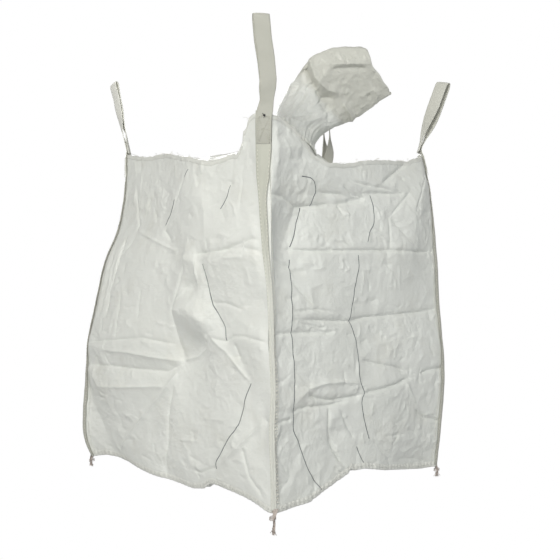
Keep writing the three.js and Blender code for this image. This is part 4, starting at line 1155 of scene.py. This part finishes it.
# loose threads along the cut rim
for k, w in enumerate(WALLS):
    rng = np.random.RandomState(150 + k)
    pt = Parts()
    for j in range(26):
        s0 = rng.uniform(0.04, 0.96)
        Pq, N = on_wall(w, np.array([s0]), rim_z(w, np.array([s0])))
        L = rng.uniform(0.006, 0.026)
        q = np.linspace(0, 1, 10)[:, None]
        d = np.array([rng.normal() * 0.5, rng.normal() * 0.5, rng.uniform(0.1, 0.9)])
        d = d / np.linalg.norm(d) + N[0] * 0.4
        path = Pq[0] + N[0] * 0.0008 + d * L * q + np.array([0, 0, -0.5 * L]) * q ** 2 + 0.12 * L * np.sin(q * 7 + j) * np.array([0.7, 0.7, 0.3])
        pt.add(strand(path, 0.00045, 5), None, wrap=True)
    ob = pt.build(f'loose_threads_{w}', M_THREAD)
    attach(ob, 'bag')

# ---------------------------------------------------------------- top panel and filling spout
COLLAR = dict(x=0.214, y=-0.069, z=1.090, lateral=0.100, depth=0.138)
LAT, DEP = np.array([S, S]), np.array([-S, S])


def frame_point(l, e, z):
    """lateral, depth and height from the collar's centre"""
    l, e, z = np.broadcast_arrays(l, e, z)
    return np.stack([COLLAR['x'] + LAT[0]*l + DEP[0]*e, COLLAR['y'] + LAT[1]*l + DEP[1]*e, COLLAR['z'] + z], -1)


# inner outline of the rim, as angle from the collar's centre, distance and height
rim_pts = []
for w in WALLS:
    s = np.linspace(0.012, 0.988, 300)
    P, N = on_wall(w, s, rim_z(w, s) - 0.004)
    rim_pts.append(P - N * 0.0035)
R = np.concatenate(rim_pts)
dx, dy = R[:, 0] - COLLAR['x'], R[:, 1] - COLLAR['y']
ang, rad = np.arctan2(dy, dx), np.hypot(dx, dy)
order = np.argsort(ang)
ang, rad, hgt = ang[order], rad[order], R[order, 2]
NA, NR = 360, 70
th = np.linspace(-np.pi, np.pi, NA, endpoint=False)
rr = np.interp(th, ang, rad, period=2 * np.pi)
hh = np.interp(th, ang, hgt, period=2 * np.pi)
dl = np.cos(th) * LAT[0] + np.sin(th) * LAT[1]
de = np.cos(th) * DEP[0] + np.sin(th) * DEP[1]
CL, CD, CO, CT = 0.064, 0.120, -0.018, 0.52   # the collar as its thread gathers it: half sizes, shift and tilt to the side


def ring_radius(grow):
    """distance from the collar's origin to its oval, which lies a little to one side"""
    A_, B_ = CL + grow, CD + grow
    qa = (dl / A_) ** 2 + (de / B_) ** 2
    qb = -2 * dl * CO / A_ ** 2
    qc = (CO / A_) ** 2 - 1
    return (-qb + np.sqrt(qb * qb - 4 * qa * qc)) / (2 * qa)


r0 = ring_radius(0.002)
q = np.linspace(0, 1, NR)
Rq = r0[:, None] + (rr - r0)[:, None] * q[None]
span = (rr - r0)[:, None]
front = np.exp(-((de[:, None] + 0.85) / 0.45) ** 2)          # the side of the collar towards the front corner
z0 = COLLAR['z'] - 0.009 + 0.010 * front - CT * (r0 * dl - CO)[:, None]
right = smooth01((dl[:, None] - 0.1) / 0.5)
fallq = q[None] * front * (1 - right) + (1 - front * (1 - right)) * q[None] ** (0.42 - 0.18 * right)
Zq = z0 + (hh[:, None] - z0) * fallq - (0.26 * (1 - 0.8 * front) * (1 - right) + 0.85 * right) * span * q * (1 - q)
# pleats that run out from the gathered collar, and soft dents
pl = np.abs(noise3(np.stack([th[:, None] * 7 + 0 * Rq, Rq * 1.2, 0 * Rq], -1), 101)) - 0.2
pl2 = np.abs(noise3(np.stack([th[:, None] * 16 + 0 * Rq, Rq * 2.5, 0 * Rq + 4], -1), 102)) - 0.2
edge = smooth01(q / 0.06)[None] * smooth01((1 - q) / 0.10)[None]
X, Y = COLLAR['x'] + np.cos(th)[:, None] * Rq, COLLAR['y'] + np.sin(th)[:, None] * Rq
P3 = np.stack([X, Y, 0 * X], -1)
wave = (0.050 * pl * np.exp(-q / 0.55)[None] + 0.018 * pl2 * np.exp(-q / 0.3)[None] + 0.020 * crumple(P3, 0.13, 103) + 0.006 * crumple(P3, 0.045, 104)) * edge
Zq = Zq + wave * np.clip(span / 0.15, 0.25, 1)
top = grid('top_cover', np.stack([X, Y, Zq], -1), np.stack([np.concatenate([X, X[:1]]), np.concatenate([Y, Y[:1]])], -1), M_THIN, wrap=True, thick=0.0006)
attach(top, 'bag')
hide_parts('top_panel')

# collar: the sewn band between cover and spout, gathered by its thread
nb = 360
t = np.linspace(0, 2 * np.pi, nb, endpoint=False)
prof = [(0.007, -0.0065), (0.008, -0.002), (0.0065, 0.003), (0.0042, 0.0055), (0.0022, 0.003), (0.0018, -0.001), (0.003, -0.006), (0.005, -0.0078)]
ring = []
for g, dz in prof + prof[:1]:
    puck = 1 + 0.010 * np.sin(t * 46) + 0.006 * np.sin(t * 31 + 1)
    l = CO + np.cos(t) * (CL + g) * puck
    e = np.sin(t) * (CD + g) * puck
    fr = np.exp(-((np.sin(t) + 0.9) / 0.45) ** 2)
    ring.append(frame_point(l, e, dz + 0.008 * fr - 0.003 - CT * (l - CO)))
P = np.array(ring).transpose(1, 0, 2)
UV = np.stack(np.meshgrid(np.linspace(0, 0.75, nb + 1), np.linspace(0, 0.03, P.shape[1]), indexing='ij'), -1)
ob = grid('collar_band', P, UV, M_HEM, wrap=True)
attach(ob, 'bag')
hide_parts('spout_collar_seam')

# spout: lateral and height of its centre line, tilt of its cross-section, half width, half thickness, crest of the front face
SPOUT = np.array([
 # l, z, tilt, a, b, crest, lean
 (-18, -3, 27.5, 72, 121.5, 0.0, 0.0),
 (-18, 12, 29, 71, 117, -0.1, -0.05),
 (-16, 34, 31, 73, 106, -0.15, -0.10),
 (-6, 64, 35, 82, 84, -0.2, -0.14),
 (14, 90, 38, 88, 68, -0.1, -0.10),
 (36, 114, 42, 96, 58, 0.0, 0.0),
 (58, 133, 45, 100, 52, -0.15, 0.20),
 (77, 151, 47, 104, 45, -0.3, 0.40),
 (100, 170, 47.5, 110, 42, -0.38, 0.42),
 (123, 186, 48, 114, 40, -0.42, 0.44),
 (171, 212, 48.5, 108, 36, -0.42, 0.42),
 (214, 228, 48, 97, 33, -0.42, 0.38),
 (250, 236, 52, 84, 30, -0.42, 0.36)], float)
SPOUT[:, [0, 1, 3, 4]] /= 1000
NT, NL = 300, 190
cen = SPOUT[:, :2]
key = np.r_[0, np.cumsum(np.hypot(*np.diff(cen, axis=0).T))]
ks = np.linspace(0, key[-1], NL)
row = np.stack([np.interp(ks, key, SPOUT[:, k]) for k in range(7)], -1)
row = box_blur(row, 9, 0)
row[0], row[-1] = SPOUT[0], SPOUT[-1]
tt = np.linspace(np.pi / 2, np.pi / 2 + 2 * np.pi, NT, endpoint=False)
C, Sn = np.cos(tt)[:, None], np.sin(tt)[:, None]
a_, b_, cr, ln = row[None, :, 3], row[None, :, 4], row[None, :, 5], row[None, :, 6]
flat = smooth01((ks / key[-1] - 0.25) / 0.35)[None]         # round at the collar, pressed flat further on
lens = np.clip(1 - np.abs(C - cr) / np.where(C > cr, 1 - cr, 1 + cr), 0, 1)
thick = b_ * ((1 - flat) * Sn + flat * np.sign(Sn) * (0.25 * np.abs(Sn) + 0.75 * lens ** 0.8 * np.minimum(1, np.abs(Sn) * 3)))
wl = C * a_
tilt = np.radians(row[None, :, 2])
L_ = row[None, :, 0] + wl * np.cos(tilt)
Z_ = row[None, :, 1] - wl * np.sin(tilt)
E_ = thick + ln * wl
Pm = np.stack([L_, E_, Z_], -1)
n_ = np.cross(np.gradient(Pm, axis=0), np.gradient(Pm, axis=1))
n_ /= np.linalg.norm(n_, axis=-1, keepdims=True) + 1e-12
if (n_[NT // 2, NL // 2] @ np.array([0, -1, 0])) < 0:
    n_ = -n_
rimfade = smooth01(ks / 0.03)[None]
arc = tt[:, None] * 0.11
h = (0.004 + 0.008 * smooth01((ks - 0.13) / 0.05))[None] * crumple(Pm, 0.11, 111) + 0.0065 * crumple(Pm, 0.05, 112) + 0.0022 * crumple(Pm, 0.022, 113)
# gathers above the collar thread
gather = (0.5 * np.sin(tt * 21 + 2.0 * np.sin(tt * 3)) + 0.5 * np.sin(tt * 34 + 1.3))[:, None]
h = h + 0.0042 * gather * np.exp(-ks / 0.05)[None]
# named folds of the front face: depth, width, line of (lateral, height)
front_face = (Sn < 0.05)
for amp, wid, line in [
        (-0.015, 0.013, [(5, 262), (15, 232), (29, 193), (54, 158), (73, 141), (117, 139)]),
        (0.010, 0.010, [(30, 262), (36, 226), (46, 195), (66, 172), (90, 160), (125, 158)]),
        (0.008, 0.009, [(137, 129), (160, 104), (181, 80)]),
        (-0.007, 0.012, [(93, 126), (94, 94), (93, 45)]),
        (-0.010, 0.020, [(60, 128), (78, 112), (92, 94)]),
        (0.007, 0.010, [(93, 234), (150, 242), (226, 252)]),
        (-0.005, 0.010, [(96, 222), (150, 232), (226, 240)]),
        (0.004, 0.007, [(-20, 190), (-40, 130), (-52, 95)]),
        (-0.003, 0.006, [(0, 200), (-16, 150), (-40, 100)]),
        (0.004, 0.007, [(30, 150), (12, 110), (-14, 84)]),
        (-0.004, 0.006, [(24, 178), (8, 140), (-8, 104)]),
        (0.007, 0.008, [(-62, 64), (-20, 46), (0, 44), (40, 56), (66, 70)]),
        (-0.006, 0.008, [(-50, 42), (0, 27), (40, 32)]),
        (-0.005, 0.006, [(-30, 66), (6, 72), (46, 84)])]:
    d, al = near_line([(x / 1000, y / 1000) for x, y in line], L_, Z_)
    f = smooth01(al / 0.15) * smooth01((1 - al) / 0.15) * 0.7 + 0.3
    h = h + np.where(front_face, amp * np.exp(-(d / wid) ** 1.3) * f, 0)
rng = np.random.RandomState(117)
for _ in range(150):
    c0 = np.array([rng.uniform(-0.08, 0.26), rng.uniform(0.0, 0.27)])
    Ls = rng.uniform(0.012, 0.05)
    thk = rng.choice([0.75, -0.8, 0.1]) + rng.normal() * 0.5
    dv = np.array([math.cos(thk), math.sin(thk)]) * Ls / 2
    side_ = rng.normal() * 0.12 * np.array([-dv[1], dv[0]])
    near_c = (np.abs(L_ - c0[0]) < Ls) & (np.abs(Z_ - c0[1]) < Ls)
    if near_c.sum() < 4:
        continue
    dd, al = near_line([tuple(c0 - dv), tuple(c0 + side_), tuple(c0 + dv)], L_[near_c], Z_[near_c])
    h[near_c] += rng.choice([-1, 1]) * rng.uniform(0.0008, 0.0024) * np.exp(-dd / rng.uniform(0.003, 0.006)) * smooth01(al / 0.3) * smooth01((1 - al) / 0.3)
h = h * rimfade
Pm = Pm + n_ * h[..., None]
# the cut end isn't straight
endf = smooth01((ks / key[-1] - 0.8) / 0.2)[None]
ax = np.stack([np.sin(tilt), 0 * tilt, np.cos(tilt)], -1)
Pm = Pm + ax * (endf * (0.006 * C * Sn + 0.0024 * np.sin(tt * 7)[:, None] - 0.013 * np.exp(-((C + 0.12) / 0.3) ** 2)))[..., None]
Pw = frame_point(Pm[..., 0], Pm[..., 1], Pm[..., 2])
UV = np.stack(np.meshgrid(np.linspace(0, 0.72, NT + 1), ks, indexing='ij'), -1)
spout = grid('filling_spout', Pw[::-1], UV, M_SPOUT, wrap=True)
# make sure that the outside faces out
me = spout.data
mid = me.polygons[len(me.polygons) // 2]
ctr = np.array([mid.center[k] for k in range(3)])
axis_mid = frame_point(row[:, 0], 0 * row[:, 0], row[:, 1])
near = axis_mid[np.argmin(np.linalg.norm(axis_mid - ctr, axis=1))]
if np.array(mid.normal) @ (ctr - near) < 0:
    me.flip_normals()
solid(spout, 0.0006, -1)
along = frame_point(0.047, 0, 0.0) * 0 + np.array([LAT[0] * math.sin(math.radians(46)), LAT[1] * math.sin(math.radians(46)), math.cos(math.radians(46))])
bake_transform(spout)
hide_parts('spout_neck', 'spout_sleeve')

# ---------------------------------------------------------------- base panel, its seams, and the corner tails
def edge_of(w, m):
    s = 0.035 + m * 0.93
    P, N = on_wall(w, s, foot_z(w, s))
    return P - N * 0.0015


NB = 150
u = np.linspace(0, 1, NB)
f_, r_, b_, l_ = edge_of('front_left', u), edge_of('front_right', u), edge_of('back_right', 1 - u), edge_of('back_left', 1 - u)
U, V = np.meshgrid(u, u, indexing='ij')
P = ((1 - V)[..., None] * f_[:, None] + V[..., None] * b_[:, None] + (1 - U)[..., None] * l_[None] + U[..., None] * r_[None]
     - ((1 - U) * (1 - V))[..., None] * f_[0] - (U * (1 - V))[..., None] * f_[-1] - (U * V)[..., None] * b_[-1] - ((1 - U) * V)[..., None] * b_[0])
rim = np.minimum(np.minimum(U, V), np.minimum(1 - U, 1 - V))
fall = np.clip((0.25 - rim) / 0.25, 0, 1) ** 1.2
flatxy = np.stack([P[..., 0], P[..., 1], 0 * U], -1)
P[..., 2] = P[..., 2] * fall + (1 - fall) * 0.0012 + smooth01(rim / 0.05) * (0.012 * np.clip(crumple(flatxy, 0.16, 121) + 0.12, 0, 1) + 0.0045 * np.clip(crumple(flatxy, 0.05, 122) + 0.1, 0, 1))
P[..., 2] = np.maximum(P[..., 2], 0.034 * np.exp(-((U - 0.62) / 0.12) ** 4) * smooth01(V / 0.012) * (1 - smooth01((V - 0.12) / 0.14)))
base = grid('base_cloth', P[:, ::-1], np.stack([U * 0.86, (V * 0.86)[:, ::-1]], -1), M_WALL, thick=FABRIC_T)
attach(base, 'base')
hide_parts('base_panel')

for w in WALLS:
    # turned and sewn bottom edge: a narrow band outside the wall, with its thread
    s = np.linspace(0.02, 0.98, 300)
    zb = foot_z(w, s)
    prof = [(0.017, 0.0003), (0.0163, 0.0008), (0.009, 0.0010), (0.002, 0.0011), (-0.0010, 0.0006), (-0.0012, -0.0012), (0.003, -0.0024), (0.008, -0.0022)]
    rows, uv, dist = [], [], 0.0
    for k, (dz, off) in enumerate(prof):
        pk = 0.0007 * np.sin(s * FIELD[w][3] / 0.0085 * math.pi) + 0.0010 * noise3(np.stack([s * 60, 0 * s, 0 * s + k * .1], -1), 95)
        Pq, N = on_wall(w, s, np.maximum(zb + dz, zb))
        Pq = Pq + N * (off + pk)[:, None]
        Pq[:, 2] += min(dz, 0)
        rows.append(Pq)
        if k:
            dist += math.hypot(dz - prof[k-1][0], off - prof[k-1][1])
        uv.append(np.stack([s * FIELD[w][3], np.full_like(s, dist)], -1))
    pt = Parts()
    pt.add(np.array(rows).transpose(1, 0, 2)[::-1], np.array(uv).transpose(1, 0, 2)[::-1])
    n = int(0.94 * FIELD[w][3] / 0.0085)
    for k in range(n):
        s0 = 0.03 + 0.94 * k / n
        s1 = s0 + 0.94 * 0.66 / n
        e = []
        for ss_ in (s0, s1):
            sa = np.array([ss_])
            Pq, N = on_wall(w, sa, foot_z(w, sa) + 0.0095)
            e.append((Pq[0] + N[0] * 0.0028, N[0]))
        stitch(pt, e[0][0], e[1][0], e[0][1], 0.0008, 0.0008)
    ob = pt.build(f'base_hem_{w}', M_HEM)
    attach(ob, 'base')
    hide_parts(f'base_seam_{w}')

TAILS = {'front': 0.058, 'right': 0.034, 'left': 0.030, 'back': 0.040}
for k, (c, length) in enumerate(TAILS.items()):
    rng = np.random.RandomState(130 + k)
    pt = Parts()
    a, _ = belt_at(c, np.array(0.0), np.array(0.012))
    top_pt = on_corner(c, a, 0.014, BELT_TOP)
    ox, oy = OUT[c]
    # the webbing's folded end, pinched together and turned
    nn, mm = 13, 26
    t = np.linspace(0, 1, mm)
    wv = np.linspace(-1, 1, nn)
    P = np.zeros((nn, mm, 3))
    for i, w_ in enumerate(wv):
        wide = np.interp(t, [0, 0.18, 0.45, 0.8, 1], [0.0125, 0.0085, 0.0048, 0.0042, 0.0036])
        turn = 2.6 * smooth01(t) + 0.4
        fold = 0.0035 * np.cos(w_ * 3.2) * (1 - 0.4 * t)
        la, lb = w_ * wide, fold
        x = la * np.cos(turn) - lb * np.sin(turn)
        y = la * np.sin(turn) + lb * np.cos(turn)
        P[i] = np.stack([top_pt[0] + RUN[c][0] * x + ox * (y + 0.004 * t), top_pt[1] + RUN[c][1] * x + oy * (y + 0.004 * t), 0.016 - t * (length * 0.72 + 0.016) + 0 * x], -1)
    pt.add(P, np.stack(np.meshgrid(wv * 0.02, t * length, indexing='ij'), -1))
    end = P[nn // 2, -1]
    for j in range(26):
        d0 = rng.normal(size=3) * (0.0026, 0.0026, 0.001)
        drop = length * rng.uniform(0.12, 0.30)
        q = np.linspace(0, 1, 9)[:, None]
        sway = rng.normal(size=3) * (0.004, 0.004, 0)
        path = end + d0 * (0.6 + 0.8 * q) + sway * q ** 2 + np.array([0, 0, -drop]) * q + np.array([0, 0, 0.006]) * (1 - q) + 0.0008 * np.sin(q * 9 + j) * np.array([1, 1, 0])
        path[:, 2] = np.maximum(path[:, 2], -0.003 - length)
        pt.add(strand(path, 0.0007, 5), None, wrap=True)
    for j in range(3):  # thread wound round it
        th = np.linspace(0, 2 * np.pi, 22)
        zc = 0.0 - 0.006 - 0.003 * j
        tq = (0.016 - zc) / (length * 0.72 + 0.016)
        cx = P[nn // 2, int(tq * (mm - 1))]
        ringp = np.stack([cx[0] + 0.0088 * np.cos(th), cx[1] + 0.0088 * np.sin(th), zc + 0.0012 * np.sin(th)], -1)
        pt.add(strand(ringp, 0.0009, 6, taper=True), None, wrap=True)
    ob = pt.build(f'corner_tail_web_{c}', M_TAIL)
    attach(ob, 'base')
    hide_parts(f'corner_tail_{c}')

# ---------------------------------------------------------------- each wall's corner names, read but not used
for w in WALLS:
    a, b, _, _ = WALLS[w]

# ---------------------------------------------------------------- room, light and camera
def emit(name, colour, strength):
    m = bpy.data.materials.new(name)
    m.use_nodes = True
    t = m.node_tree
    t.nodes.clear()
    o = t.nodes.new('ShaderNodeOutputMaterial')
    e = t.nodes.new('ShaderNodeEmission')
    e.inputs[0].default_value = colour
    e.inputs[1].default_value = strength
    t.links.new(e.outputs[0], o.inputs[0])
    return m


def stage_mesh(name, rings, mat, n=48):
    """round backdrop from (radius, height) rings"""
    v, f = [], []
    for r, z in rings:
        for k in range(n):
            a = 2 * math.pi * k / n
            v.append((r * math.cos(a), r * math.sin(a), z))
    for i in range(len(rings) - 1):
        for k in range(n):
            f.append((i*n + k, i*n + (k+1) % n, (i+1)*n + (k+1) % n, (i+1)*n + k))
    f.append(tuple(range(n)))
    ob = mesh_of(name, v, f, None, mat)
    for attr in ('visible_diffuse', 'visible_glossy', 'visible_shadow', 'visible_transmission'):
        setattr(ob, attr, False)
    return ob


stage_mesh('backdrop', [(5.2, -0.42), (5.6, -0.36), (5.85, -0.1), (5.95, 0.4), (5.95, 3.0), (5.0, 5.5), (2.5, 7.2), (0.3, 7.6)], emit('backdrop_white', (1, 1, 1, 1), 1.0))
stage_mesh('floor', [(5.25, -0.421), (0.01, -0.4205)], emit('floor_white', (1, 1, 1, 1), 0.985))

world = bpy.data.worlds.new('studio')
bpy.context.scene.world = world
world.use_nodes = True
world.node_tree.nodes['Background'].inputs[0].default_value = (1.0, 1.0, 1.0, 1)
world.node_tree.nodes['Background'].inputs[1].default_value = 0.33


def area(name, at, to, size, power, colour=(1, 1, 1)):
    d = bpy.data.lights.new(name, 'AREA')
    d.shape = 'DISK'
    d.size = size
    d.energy = power
    d.color = colour
    o = bpy.data.objects.new(name, d)
    bpy.context.scene.collection.objects.link(o)
    o.location = at
    import mathutils
    o.rotation_mode = 'QUATERNION'
    o.rotation_quaternion = (mathutils.Vector(to) - mathutils.Vector(at)).to_track_quat('-Z', 'Y')
    return o


FWD, RIGHT = np.array([-S, S, 0]), np.array([S, S, 0])
aim = np.array([0, 0, 0.62])
area('key', tuple(aim - FWD * 3.3 - RIGHT * 0.75 + np.array([0, 0, 1.9])), tuple(aim), 1.6, 80, (1.0, 0.99, 0.955))
area('fill', tuple(aim - FWD * 2.4 + RIGHT * 2.9 + np.array([0, 0, 0.5])), tuple(aim), 2.0, 22, (0.94, 0.975, 1.0))
area('low', tuple(aim - FWD * 2.6 - RIGHT * 1.2 + np.array([0, 0, -1.0])), tuple(aim - np.array([0, 0, 0.3])), 1.6, 15)

area('back', tuple(aim + FWD * 3.0 - RIGHT * 0.9 + np.array([0, 0, 1.5])), tuple(aim), 2.2, 60)

cam = bpy.data.cameras.new('camera')
cam.lens = 42.88
cam.sensor_width = 36
cam.clip_start, cam.clip_end = 0.05, 50
cam_ob = bpy.data.objects.new('camera', cam)
bpy.context.scene.collection.objects.link(cam_ob)
cam_ob.location = (1.7066, -1.6536, 0.633)
import mathutils
cam_ob.rotation_euler = mathutils.Vector((-S, S, 0)).to_track_quat('-Z', 'Y').to_euler()
cam.shift_y = 3 / 560
bpy.context.scene.camera = cam_ob
vs = bpy.context.scene.view_settings
vs.view_transform = 'Standard'
vs.look = 'None'
vs.exposure = 0.0
vs.gamma = 1.0
